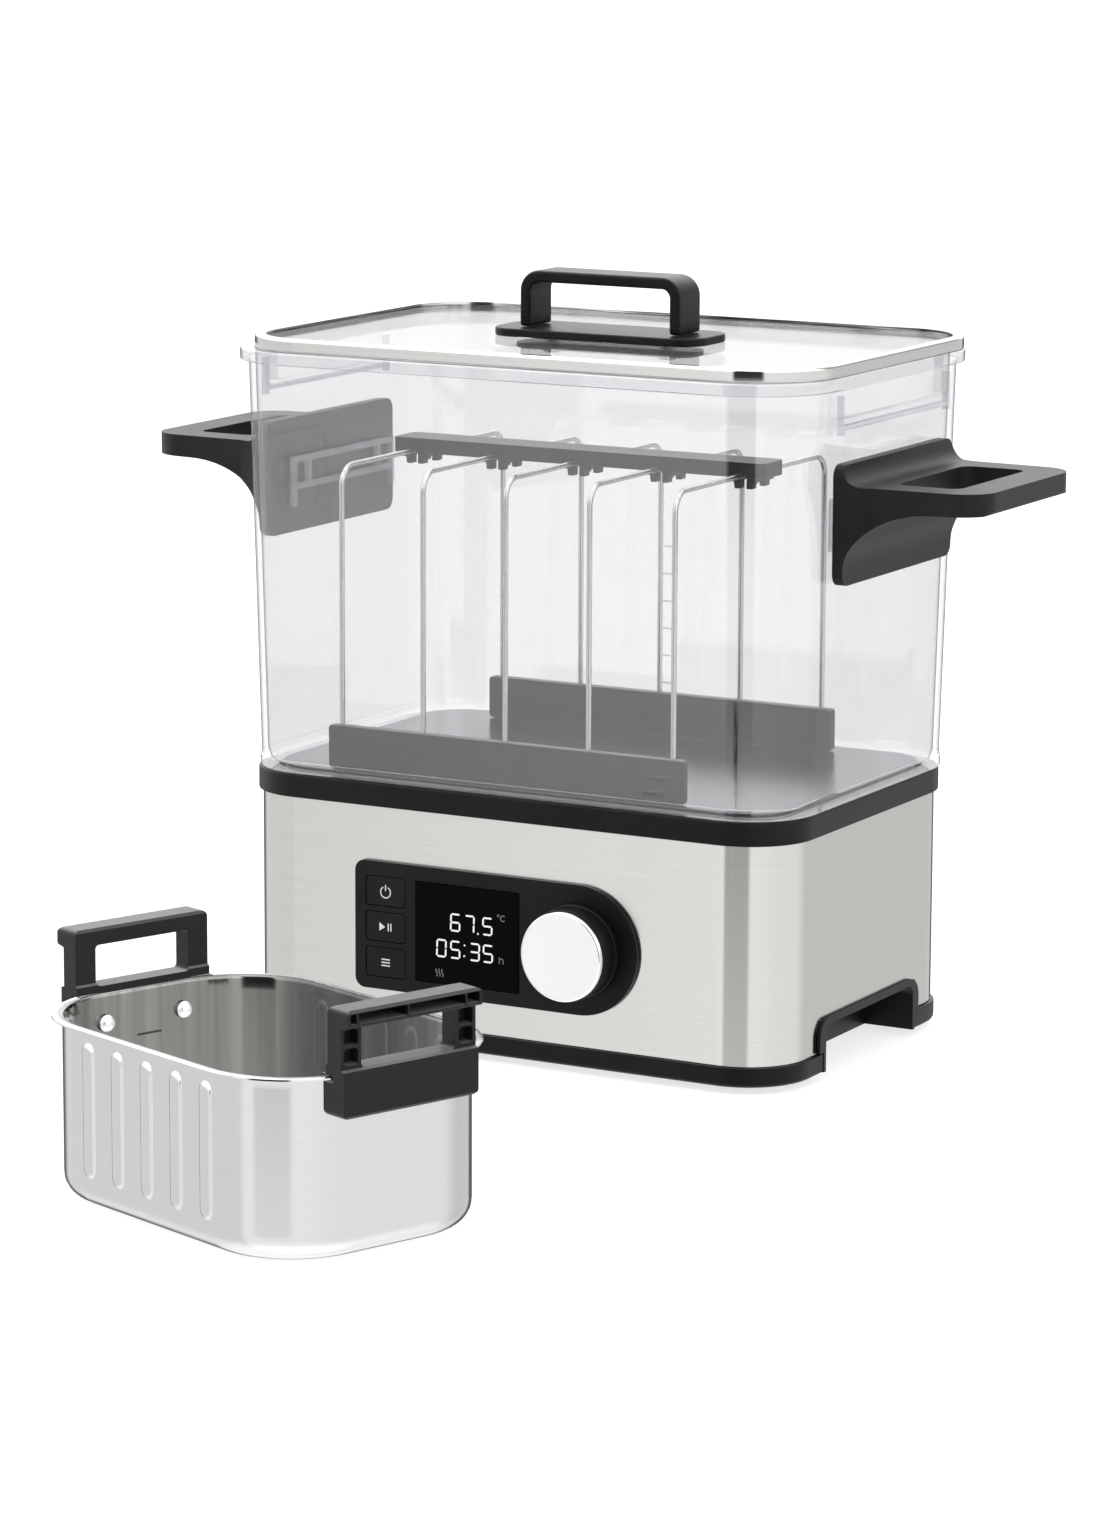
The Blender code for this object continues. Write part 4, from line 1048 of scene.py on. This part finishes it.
class COOKER_OT_keys(bpy.types.Operator):
    """Three keys with their marks"""

    bl_idname = "cooker.keys"
    bl_label = "Keys"

    def execute(self, context):
        x = -0.0598
        bars = ((x - 0.0024, 0.0006), (x - 0.0024, 0.0), (x - 0.0024, -0.0006))
        marks = {
            "power": [
                ring_outline((x, 0.0734), 0.0026, 0.00055, 118, 422),
                stroke((x, 0.0739), (x, 0.0770), 0.0006),
            ],
            "start": [
                [(x - 0.0033, 0.0551), (x - 0.0002, 0.0571), (x - 0.0033, 0.0591)],
                stroke((x + 0.0014, 0.0551), (x + 0.0014, 0.0591), 0.0006),
                stroke((x + 0.0028, 0.0551), (x + 0.0028, 0.0591), 0.0006),
            ],
            "menu": [
                stroke((left, 0.0404 + rise * 2.4), (left + 0.0048, 0.0404 + rise * 2.4), 0.0006)
                for left, rise in bars
            ],
        }
        for name, z in (("power", 0.0737), ("start", 0.0571), ("menu", 0.0404)):
            node = "button_" + name
            low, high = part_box(node)
            front, back = low.y - BASE.y, high.y - BASE.y
            key = plate(
                "key", rounded((x - 0.0103, z - 0.0068), (x + 0.0103, z + 0.0068), 0.0015), "Y",
                back, front,
            )
            soften(key, 0.0003, 3, 40.0)
            body = name + "_key"
            finished(key, "key_" + name, AT_BASE, body, "black", node)
            face = (front + 0.00003, front - 0.00006)
            inlay("mark_" + name, marks[name], AT_BASE, body, "print", *face)
        return {"FINISHED"}


class COOKER_OT_knob(bpy.types.Operator):
    """Rotary knob: mirror cap on a black barrel with a skirt"""

    bl_idname = "cooker.knob"
    bl_label = "Knob"

    def execute(self, context):
        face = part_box("knob_cap")[0].y - PANEL_FACE
        section = [(0.0, face + 0.00012), (0.0120, face + 0.00005), (0.0190, face)]
        section += arc((0.0196, face + 0.0009), 0.0009, -90, -25, 5)
        section += [(0.0206, face + 0.0013), (0.0206, face + 0.0018), (0.0, face + 0.0018)]
        cap = turned("cap_body", section, axis="Y", steps=96)
        finished(cap, "cap", AT_KNOB, "knob", "chrome", "knob_cap", angle=25.0)
        barrel = [
            (0.0, face + 0.0020), (0.0204, face + 0.0020), (0.0208, face + 0.0022),
            (0.0211, face + 0.0027),
        ]
        barrel += [
            (0.0211, -0.0046), (0.0209, -0.0042), (0.0209, -0.0040), (0.0213, -0.0039),
            (0.0216, -0.0036),
        ]
        barrel += [(0.0216, -0.0010), (0.0213, -0.0006), (0.0, -0.0006)]
        core = turned("barrel_body", barrel, axis="Y", steps=96)
        finished(core, "barrel", AT_KNOB, "knob", "black", "knob_core", angle=25.0)
        dress("knob_shaft", "polished")
        return {"FINISHED"}


# Tank


class COOKER_OT_tank(bpy.types.Operator):
    """Clear tank with flange, pan pockets, brackets and level marks"""

    bl_idname = "cooker.tank"
    bl_label = "Tank"

    def execute(self, context):
        wall = context.scene.cooker_sizes.tank_wall
        outer = [(0.0316, 0.1243), *arc((0.0312, 0.1251), 0.0008, -60, 0, 3), (0.0320, 0.1288)]
        outer += [*arc((0.0310, 0.1288), 0.0010, 20, 75, 3), (0.0313, 0.1300), (0.0337, 0.2216)]
        outer += [(0.0362, 0.3129), (0.0368, 0.3135), (0.0398, 0.3135), (0.0402, 0.3138)]
        outer += [*arc((0.0393, 0.3182), 0.0010, 0, 90, 4), (0.0342, 0.3192), (0.0335, 0.3190)]
        inner = [
            (0.0333, 0.3184), (0.0313 - wall + 0.0024, 0.2216), (0.0313 - wall + 0.0001, 0.1317),
        ]
        inner += [
            (0.0270, 0.1277), (0.0255, 0.1266), (0.0238, 0.1262), (0.0206, 0.1262), (0.0206, 0.1225),
        ]
        inner += [(0.0150, 0.1225), (0.0150, 0.1195), (0.0233, 0.1195), (0.0233, 0.1243)]
        tank = ring_round("tank_body", outer + inner, steps=16, closed=True)
        for side in (-1, 1):
            pocket = plate(
                "pocket", rounded((-0.0545, 0.2975), (0.0545, 0.3165), 0.0025), "X", side * 0.1432,
                side * 0.1499,
            )
            cut(tank, soften(pocket, 0.0008, 3), operation="UNION")
            hollow = rounded((-0.0525, 0.3000), (0.0525, 0.3400), 0.0018)
            cut(tank, plate("hollow", hollow, "X", side * 0.1300, side * 0.1479))
        finished(tank, "tank_wall", AT_TANK, "tank", "tank", "tank_shell", angle=28.0)
        self.ledges()
        section = [(0.0203, 0.1243), (0.0203, 0.1257), *arc((0.0199, 0.1258), 0.0004, 0, 90, 3)]
        floor = ring_round("floor_body", section, steps=14)
        finished(floor, "tank_floor", AT_TANK, "tank", "floor_plate", "tank_floor_plate")
        dress("tank_seal", "silicone")
        self.brackets()
        self.marks()
        return {"FINISHED"}

    def ledges(self):
        """Moulded rib under each pan pocket, turned up at both ends."""
        outline = [(-0.0560, 0.2935), (-0.0535, 0.2935), (-0.0535, 0.2955), (0.0535, 0.2955)]
        outline += [(0.0535, 0.2935), (0.0560, 0.2935), (0.0560, 0.3110), (0.0540, 0.3110)]
        outline += [(0.0540, 0.2977), (-0.0540, 0.2977), (-0.0540, 0.3110), (-0.0560, 0.3110)]
        ledge = soften(plate("ledge", outline, "X", 0.1468, 0.1501), 0.0005, 2, 40.0)
        both_ends(ledge, "tank_ledge_%s", AT_TANK, "tank", "moulded_mark")

    def brackets(self):
        """Moulded frame on the inside of each end wall, behind the handle."""
        bars = [((-0.046, 0.2606), (0.046, 0.2636)), ((-0.046, 0.2480), (0.046, 0.2510))]
        for y in (-0.0445, -0.0315, 0.0315, 0.0445):
            low = 0.2400 if abs(y) > 0.04 else 0.2490
            bars.append(((y - 0.0015, low), (y + 0.0015, 0.2620)))
        solid = [plate("bar", rounded(*bar, 0.0009, 3), "X", 0.1386, 0.1409) for bar in bars]
        bracket = cut(*solid, operation="UNION")
        soften(bracket, 0.0005, 2, 45.0)
        both_ends(bracket, "tank_bracket_%s", AT_TANK, "tank", "moulded_mark")

    def marks(self):
        """Level scale moulded on the inside of the rear wall."""
        parts = []
        for index in range(6):
            z = 0.1470 + index * 0.0132
            wide = 0.0042 if index % 2 else 0.0064
            y = 0.0913 + (z - 0.13) * 0.0262
            low, high = (-0.0140 - wide / 2, z - 0.0004), (-0.0140 + wide / 2, z + 0.0004)
            parts.append(plate("tick", rounded(low, high, 0.0003, 2), "Y", y - 0.0006, y))
        finished(joined("marks", *parts), "level_marks", AT_TANK, "tank", "moulded_mark")


class COOKER_OT_tank_handles(bpy.types.Operator):
    """Two loop handles on wall plates"""

    bl_idname = "cooker.tank_handles"
    bl_label = "Tank handles"

    def execute(self, context):
        belly = arc((0.1920, 0.2330), 0.0410, 180, 90, 14)
        flattened = [(x, 0.2330 + (z - 0.2330) * 0.0275 / 0.0410) for x, z in belly]
        outline = [(0.1460, 0.2265), (0.1510, 0.2265), *flattened]
        outline += [(0.2130, 0.2608), (0.2155, 0.2625), (0.2155, 0.2709)]
        outline += arc((0.1590, 0.2789), 0.0080, -90, -180, 8)
        outline += [(0.1510, 0.2806), (0.1460, 0.2806)]
        handle = plate("handle_body", outline, "Y", -0.0570, 0.0570)
        plan = [(0.1440, -0.0570), (0.1530, -0.0570), (0.1575, -0.0552), (0.1640, -0.0533)]
        plan += arc((0.1995, -0.0360), 0.0160, -90, 0, 10)
        plan += arc((0.1995, 0.0360), 0.0160, 0, 90, 10)
        plan += [(0.1640, 0.0533), (0.1575, 0.0552), (0.1530, 0.0570), (0.1440, 0.0570)]
        front = rounded((-0.0570, 0.2265), (0.0570, 0.2806), 0.0055)
        cut(handle, plate("plan", plan, "Z", 0.2200, 0.2900), operation="INTERSECT")
        cut(handle, plate("front", front, "X", 0.1400, 0.2200), operation="INTERSECT")
        hole = rounded((0.1665, -0.0365), (0.1975, 0.0365), 0.0060)
        cut(handle, plate("hole", hole, "Z", 0.2100, 0.2900))
        soften(handle, 0.0013, 3, 35.0)
        both_ends(handle, "loop_%s", AT_TANK, "tank", "charcoal", "tank_handle_%s", angle=40.0)
        return {"FINISHED"}


# Lid


class COOKER_OT_lid(bpy.types.Operator):
    """Glass pane in a polished steel rim"""

    bl_idname = "cooker.lid"
    bl_label = "Lid"

    def execute(self, context):
        section = [(0.0333, 0.3199), (0.0337, 0.3203), (0.0337, 0.3225), (0.0333, 0.3229)]
        pane = ring_round("pane_body", section, steps=16)
        for x in (-0.0300, 0.0300):
            bore = [(0.0, -0.01), (0.0035, -0.01), (0.0035, 0.01), (0.0, 0.01)]
            cut(pane, turned("hole", bore, (x, 0.0, 0.3214), "Z", 24))
        finished(pane, "pane", AT_LID, "lid", "glass", "lid_glass")
        rim = [(0.0358, 0.3195), (0.0362, 0.3197), (0.0364, 0.3202), (0.0364, 0.3240)]
        rim += [
            *arc((0.0350, 0.3240), 0.0014, 8, 90, 6), (0.0324, 0.3254),
            *arc((0.0324, 0.3240), 0.0014, 100, 172, 4),
        ]
        rim += [(0.0310, 0.3232), (0.0340, 0.3232), (0.0340, 0.3195)]
        band = ring_round("rim_body", rim, steps=18, closed=True)
        finished(band, "rim", AT_LID, "lid", "polished", "lid_rim")
        # A thin band on the rim's inner face carries the painted dark reflection streaks.
        painted_reflection_band = [(0.0308, 0.3236), (0.0310, 0.3234), (0.0313, 0.3250), (0.0311, 0.3251)]
        painted_reflection_band = ring_round("lining_body", painted_reflection_band, steps=18, closed=True)
        finished(painted_reflection_band, "rim_lining", AT_LID, "lid", "painted_reflection_steel")
        dress("lid_clamp_plate", "black")
        dress("lid_screw_1", "polished")
        dress("lid_screw_2", "polished")
        return {"FINISHED"}


class COOKER_OT_lid_handle(bpy.types.Operator):
    """Strap handle on its notched base plate"""

    bl_idname = "cooker.lid_handle"
    bl_label = "Lid handle"

    def execute(self, context):
        low = 0.3232
        section = [(0.0121, low), (0.0125, low + 0.0004), (0.0125, low + 0.0030)]
        section += [*arc((0.0117, low + 0.0030), 0.0008, 15, 90, 4)]
        base = ring_round("base_body", section, (0.0415, 0.0080), 10)
        for x in (-0.0340, 0.0100, 0.0430):
            cut(
                base,
                block("notch", (x - 0.0040, x + 0.0040), (-0.03, -0.0185), (0.3200, low + 0.0010)),
            )
        for x in (-0.0300, 0.0300):
            bore = [(0.0, -0.01), (0.0023, -0.01), (0.0023, 0.0024), (0.0, 0.0024)]
            cut(base, turned("bore", bore, (x, 0.0, low), "Z", 20))
        finished(base, "handle_plate", AT_LID, "lid", "black", "lid_handle_base")
        foot, top = low + 0.0041, 0.3533
        outline = [(0.0415, foot), *arc((0.0320, top - 0.0095), 0.0095, 0, 90, 10)]
        outline += [
            *arc((-0.0320, top - 0.0095), 0.0095, 90, 180, 10), (-0.0415, foot), (-0.0361, foot),
        ]
        outline += [
            *arc((-0.0319, top - 0.0096), 0.0042, 180, 90, 6),
            *arc((0.0319, top - 0.0096), 0.0042, 90, 0, 6),
        ]
        outline += [(0.0361, foot)]
        strap = plate("strap_body", outline, "Y", -0.0107, 0.0107)
        soften(strap, 0.0014, 3, 40.0)
        for side in (-1, 1):
            seam = block(
                "seam", sorted((side * 0.0350, side * 0.0425)), (-0.012, 0.012), (0.3306, 0.3309)
            )
            core = block(
                "core", sorted((side * 0.0364, side * 0.0412)), (-0.0104, 0.0104), (0.3300, 0.3315)
            )
            cut(seam, core)
            cut(strap, seam)
        finished(strap, "strap", AT_LID, "lid", "strap", "lid_handle", angle=38.0)
        return {"FINISHED"}


# Pouch rack


class COOKER_OT_rack(bpy.types.Operator):
    """Wire rack: two rails, five dividers and the clip bar"""

    bl_idname = "cooker.rack"
    bl_label = "Pouch rack"

    def execute(self, context):
        wire_radius = context.scene.cooker_sizes.wire_radius
        outline = rounded((-0.0920, 0.1265), (0.0920, 0.1466), 0.0018)
        rail = soften(plate("rail", outline, "Y", -0.0028, 0.0028), 0.0006, 3, 40.0)
        spots = []
        for name, y in (("front", -0.0750), ("rear", 0.0750)):
            place = AT_RACK @ Matrix.Translation((0.0, y, 0.0))
            spots.append(("rail_" + name, place, ["rack_rail_" + name]))
        copies(rail, spots, "rack", "rack")
        spots = []
        bar = plate(
            "bar_body", rounded((-0.0970, -0.0102), (0.0970, 0.0102), 0.0024), "Z", 0.2655, 0.2725
        )
        for index in range(5):
            x = (index - 2) * 0.0430
            teeth = [
                (x - 0.0070, 0.2675), (x - 0.0066, 0.2634), (x - 0.0048, 0.2634),
                (x - 0.0044, 0.2603),
            ]
            teeth += [
                (x + 0.0044, 0.2603), (x + 0.0048, 0.2634), (x + 0.0066, 0.2634),
                (x + 0.0070, 0.2675),
            ]
            cut(bar, plate("teeth", teeth, "Y", -0.0090, 0.0090), operation="UNION")
            cut(
                bar, block("between", (x - 0.0080, x + 0.0080), (-0.0042, 0.0042), (0.2500, 0.2640))
            )
            groove = rounded((x - 0.0016, 0.2500), (x + 0.0016, 0.2681), 0.0014, 5)
            cut(bar, plate("groove", groove, "Y", -0.02, 0.02))
            place = AT_RACK @ Matrix.Translation((x, 0.0, 0.0))
            spots.append(("divider_%d" % (index + 1), place, ["rack_wire_%d" % (index + 1)]))
        copies(self.divider(wire_radius), spots, "rack", "wire", angle=50.0)
        soften(bar, 0.0005, 2, 40.0)
        finished(bar, "clip_bar", AT_RACK, "rack", "rack", "rack_bar")
        return {"FINISHED"}

    def divider(self, radius):
        """One bent wire, up from the front rail and down to the rear one."""
        bend, foot, top = 0.0095, 0.1469, 0.2665
        path = [(-0.0750, foot), (-0.0750, 0.2000)]
        path += arc((-0.0750 + bend, top - bend), bend, 180, 90, 12)
        path += arc((0.0750 - bend, top - bend), bend, 90, 0, 12)
        path += [(0.0750, 0.2000), (0.0750, foot)]
        return tube("wire", [(0.0, y, z) for y, z in path], radius)


# Insert pan


class COOKER_OT_pan(bpy.types.Operator):
    """Pressed basin with ribs, rolled lip and fill mark"""

    bl_idname = "cooker.pan"
    bl_label = "Insert pan"

    def execute(self, context):
        rise = context.scene.cooker_sizes.rib_rise
        skin = [(0.0285, 0.0), *arc((0.0300, 0.0100), 0.0100, -90, 0, 8)]
        skin += [(0.0400, 0.0116 + i * 0.0007) for i in range(11)]
        skin += [(0.0400, 0.0200 + i * 0.0054) for i in range(9)]
        skin += [(0.0400, 0.0644 + i * 0.0007) for i in range(11)]
        skin += [
            (0.0400, 0.0742), (0.0402, 0.0752), (0.0410, 0.0758), (0.0438, 0.0761), (0.0446, 0.0759),
        ]
        inner = [
            (0.0445, 0.0766), (0.0436, 0.0770), (0.0408, 0.0769), (0.0396, 0.0764), (0.0391, 0.0754),
        ]
        inner += [(0.0390, z) for _, z in reversed(skin[9:-5])]
        inner += arc((0.0300, 0.0100), 0.0090, 0, -90, 8)
        basin = ring_round(
            "basin_body", skin + inner, (PAN_CORNER_X, PAN_CORNER_Y), 12, False, (150, 1)
        )
        self.press_ribs(basin, rise)
        for side in (-1, 1):
            for y in (-0.0200, 0.0200):
                hole = [(0.0, 0.0780), (0.0021, 0.0780), (0.0021, 0.0900), (0.0, 0.0900)]
                cut(
                    basin,
                    turned("hole", [(r, side * h) for r, h in hole], (0.0, y, 0.0645), "X", 20),
                )
        finished(basin, "basin", AT_PAN, "insert_pan", "pan", "pan_basin", angle=40.0)
        basin.visible_glossy = False
        mark = plate(
            "mark", rounded((-0.0036, 0.0564), (0.0088, 0.0573), 0.0002, 2), "X", -0.08451, -0.08432
        )
        finished(mark, "fill_line", AT_PAN, "insert_pan", "etched")
        return {"FINISHED"}

    def press_ribs(self, basin, rise):
        """Five upright ribs on each long side, pushed out through both faces of the wall."""
        low, high, half = 0.0179, 0.0661, 0.0044
        for vertex in basin.data.vertices:
            x, y, z = vertex.co
            if abs(abs(y) - 0.0599) > 0.0011 or not 0.012 < z < 0.072:
                continue
            share = 0.0
            for index in range(5):
                centre = -0.0393 + index * 0.0200
                away = Vector((x - centre, z - min(max(z, low), high))).length / half
                share = max(share, 1.0 - min(1.0, away) ** 3.2)
            vertex.co.y += math.copysign(rise * share, y)


class COOKER_OT_pan_handles(bpy.types.Operator):
    """Two hooked handles and their rivets"""

    bl_idname = "cooker.pan_handles"
    bl_label = "Pan handles"

    def execute(self, context):
        for side in (-1, 1):
            self.handle(side)
        section = [(0.0, 0.0809), (0.0009, 0.08095), (0.0012, 0.0805), (0.0021, 0.0808)]
        section += [(0.0028, 0.0814), (0.0033, 0.0822), (0.0036, 0.0832), (0.0018, 0.0832)]
        section += [(0.0018, 0.0914), (0.0, 0.0914)]
        spots = []
        for index, (side, sign) in enumerate(((1, -1), (1, 1), (-1, -1), (-1, 1)), 1):
            turn = Matrix.Rotation(0.0 if side > 0 else math.pi, 4, "Z")
            place = AT_PAN @ turn @ Matrix.Translation((0.0, side * sign * 0.0200, 0.0645))
            spots.append(("rivet_%d" % index, place, ["pan_rivet_%d" % index]))
        rivet = turned("rivet", section, axis="X", steps=32)
        copies(rivet, spots, "insert_pan", "rivet", angle=45.0)
        return {"FINISHED"}

    def handle(self, side):
        outline = [
            (0.0700, 0.0608), (0.0950, 0.0608), (0.0961, 0.0620), (0.0961, 0.0800), (0.0941, 0.0806),
        ]
        outline += [
            (0.0941, 0.0972), (0.0980, 0.0980), (0.0986, 0.0988), (0.0986, 0.1040), (0.0974, 0.1052),
        ]
        outline += [
            (0.0868, 0.1052), (0.0856, 0.1040), (0.0856, 0.0820), (0.0844, 0.0812), (0.0844, 0.0778),
        ]
        outline.append((0.0700, 0.0778))
        name = "pan_handle_" + side_name(side)
        body = plate(name, [(side * x, z) for x, z in outline], "Y", -0.0341, 0.0341)
        section = [(0.0404, 0.0500), (0.0404, 0.0746), (0.0454, 0.0746), (0.0454, 0.0774)]
        section += [(0.0389, 0.0774), (0.0389, 0.1200)]
        clearance = ring_round("room", section, (PAN_CORNER_X, PAN_CORNER_Y), 10)
        cut(body, clearance)
        front = plate(
            "front", rounded((-0.0341, 0.0608), (0.0341, 0.1052), 0.0026), "X", side * 0.0600,
            side * 0.1100,
        )
        cut(body, front, operation="INTERSECT")
        window = rounded((-0.0238, 0.0806), (0.0238, 0.0980), 0.0018)
        tools = [plate("window", window, "X", side * 0.0600, side * 0.1100)]
        for start, end in ((-0.0325, -0.0294), (-0.0286, -0.0040), (-0.0032, 0.0254), (0.0262, 0.0325)):
            outline = rounded((start, 0.0994), (end, 0.1038), 0.0009, 3)
            tools.append(plate("hollow", outline, "X", side * 0.0876, side * 0.1100))
        for y in (-0.0290, 0.0290):
            for low, high in ((0.0822, 0.0890), (0.0898, 0.0968)):
                outline = rounded((y - 0.0036, low), (y + 0.0036, high), 0.0018, 4)
                tools.append(plate("pocket", outline, "X", side * 0.0891, side * 0.0970))
        for y in (-0.0200, 0.0200):
            bore = [(0.0, 0.0776), (0.0022, 0.0776), (0.0022, 0.0920), (0.0, 0.0920)]
            tools.append(turned("bore", [(r, side * h) for r, h in bore], (0.0, y, 0.0645), "X", 20))
        cut(body, *tools)
        soften(body, 0.0006, 3, 40.0)
        finished(body, "hook_" + side_name(side), AT_PAN, "insert_pan", "hook", name, angle=40.0)
        body.visible_glossy = side > 0


# Stage

CAMERA_AT = (BASE.x + 1.1658749, BASE.y - 2.15894289, 0.5928217)
CAMERA_AZIMUTH, CAMERA_ELEVATION, CAMERA_ROLL = 28.861, 10.833, 0.225
FOCAL_PIXELS, FRAME_HEIGHT, SENSOR = 5352.36, 1528.0, 36.0


class COOKER_OT_stage(bpy.types.Operator):
    """Pale floor, soft studio light and the camera"""

    bl_idname = "cooker.stage"
    bl_label = "Stage"

    def execute(self, context):
        bpy.ops.object.select_all(action="DESELECT")
        bpy.ops.mesh.primitive_circle_add(
            vertices=96, radius=40.0, fill_type="NGON", location=(0, 0, -0.0002)
        )
        floor = context.object
        floor.name = "floor"
        bpy.ops.object.transform_apply(location=True, rotation=True, scale=True)
        floor.data.materials.append(finish("stage"))
        floor.visible_glossy = False
        self.surroundings(context)
        self.camera(context)
        context.scene.view_settings.view_transform = "Standard"
        return {"FINISHED"}

    def surroundings(self, context):
        """White studio with a dark card beside the camera and a dim corner at the back."""
        world = bpy.data.worlds.new("studio")
        world.use_nodes = True
        context.scene.world = world
        recipe = Recipe(world.node_tree)
        toward = recipe.node("ShaderNodeTexCoord").outputs["Generated"]
        parts = recipe.node("ShaderNodeSeparateXYZ", None, {0: toward}).outputs
        x, y, z = (Field(recipe, part) for part in parts)
        degrees = 180 / math.pi
        azimuth = x.sum("ARCTAN2", x, 0.0 - y) * degrees
        elevation = z.sum("ARCSINE", z) * degrees
        # Azimuth 0 lies in front and 90 at the right; the base's round corner mirrors the card
        card = azimuth.step(-16, -13) * (1.0 - azimuth.step(26, 31))
        low_edge = elevation.step(-14.8, -12.2) * 0.5 + elevation.step(-12.0, -10.4) * 0.5
        card = card * low_edge * (1.0 - elevation.step(34, 42))
        # The dim corner shades what the tank's left wall mirrors
        corner = azimuth.step(120, 130) * (1.0 - azimuth.step(160, 172)) * elevation.step(2, 6)
        corner = corner * (1.0 - elevation.step(40, 60))
        # The flag at the left gives low edges a dark line
        flag = (1.0 - azimuth.step(-128, -108)) * (1.0 - elevation.step(-3, 0))
        flag = flag * elevation.step(-45, -30)
        # Light falls off to the sides, and is strongest overhead and from the floor
        fade = 1.16 - azimuth.step(35, 95) * 0.08 - azimuth.step(118, 150) * 0.29
        fade = fade - (1.0 - azimuth.step(-35, -25)) * 0.24
        fade = fade + elevation.step(0, 14) * 1.05 + (1.0 - elevation.step(-60, -25)) * 0.5
        light = fade * (1.0 - card * 0.97) * (1.0 - corner * 0.70) * (1.0 - flag * 0.85)
        # The camera itself sees plain white
        seen = recipe.number("ShaderNodeLightPath", None, None, 0)
        level = seen + (1.0 - seen) * light
        sky = recipe.node(
            "ShaderNodeBackground", None, {"Color": (1.0, 1.0, 1.0, 1.0), "Strength": level}
        )
        recipe.node("ShaderNodeOutputWorld", None, {"Surface": sky.outputs[0]})
        bpy.ops.object.light_add(type="AREA", radius=1.2, location=(-0.7, -0.2, 1.9))
        lamp = context.object
        lamp.name = "softbox"
        downward = Vector((0, 0, 0.1)) - lamp.location
        lamp.rotation_euler = downward.to_track_quat("-Z", "Y").to_euler()
        lamp.data.energy = 7.0

    def camera(self, context):
        bpy.ops.object.camera_add(location=CAMERA_AT)
        camera = context.object
        azimuth, elevation = math.radians(CAMERA_AZIMUTH), math.radians(CAMERA_ELEVATION)
        turn = Euler((math.pi / 2 - elevation, 0.0, azimuth)).to_matrix().to_4x4()
        roll = Matrix.Rotation(math.radians(CAMERA_ROLL), 4, "Z")
        camera.matrix_world = Matrix.Translation(CAMERA_AT) @ turn @ roll
        camera.data.sensor_width = SENSOR
        camera.data.lens = SENSOR * FOCAL_PIXELS / FRAME_HEIGHT
        camera.data.clip_start, camera.data.clip_end = 0.05, 200.0
        context.scene.camera = camera


class COOKER_PT_panel(bpy.types.Panel):
    """Builders and settings"""

    bl_idname = "COOKER_PT_panel"
    bl_label = "Water bath cooker"
    bl_space_type = "VIEW_3D"
    bl_region_type = "UI"
    bl_category = "Cooker"

    def draw(self, context):
        for group in (context.scene.cooker_sizes, context.scene.cooker_colours):
            for key in group.__annotations__:
                self.layout.prop(group, key)
        for operator in OPERATORS:
            self.layout.operator(operator.bl_idname)


OPERATORS = (
    COOKER_OT_sleeve,
    COOKER_OT_tray,
    COOKER_OT_collar,
    COOKER_OT_inlet,
    COOKER_OT_panel,
    COOKER_OT_keys,
    COOKER_OT_knob,
    COOKER_OT_tank,
    COOKER_OT_tank_handles,
    COOKER_OT_lid,
    COOKER_OT_lid_handle,
    COOKER_OT_rack,
    COOKER_OT_pan,
    COOKER_OT_pan_handles,
    COOKER_OT_stage,
)
CLASSES = (CookerSizes, CookerColours, *OPERATORS, COOKER_PT_panel)


def register():
    for each in CLASSES:
        bpy.utils.register_class(each)
    bpy.types.Scene.cooker_sizes = PointerProperty(type=CookerSizes)
    bpy.types.Scene.cooker_colours = PointerProperty(type=CookerColours)


def unregister():
    del bpy.types.Scene.cooker_colours
    del bpy.types.Scene.cooker_sizes
    for each in reversed(CLASSES):
        bpy.utils.unregister_class(each)


def main():
    register()
    for operator in OPERATORS:
        getattr(bpy.ops.cooker, operator.bl_idname.split(".")[1])()


if __name__ == "__main__":
    main()
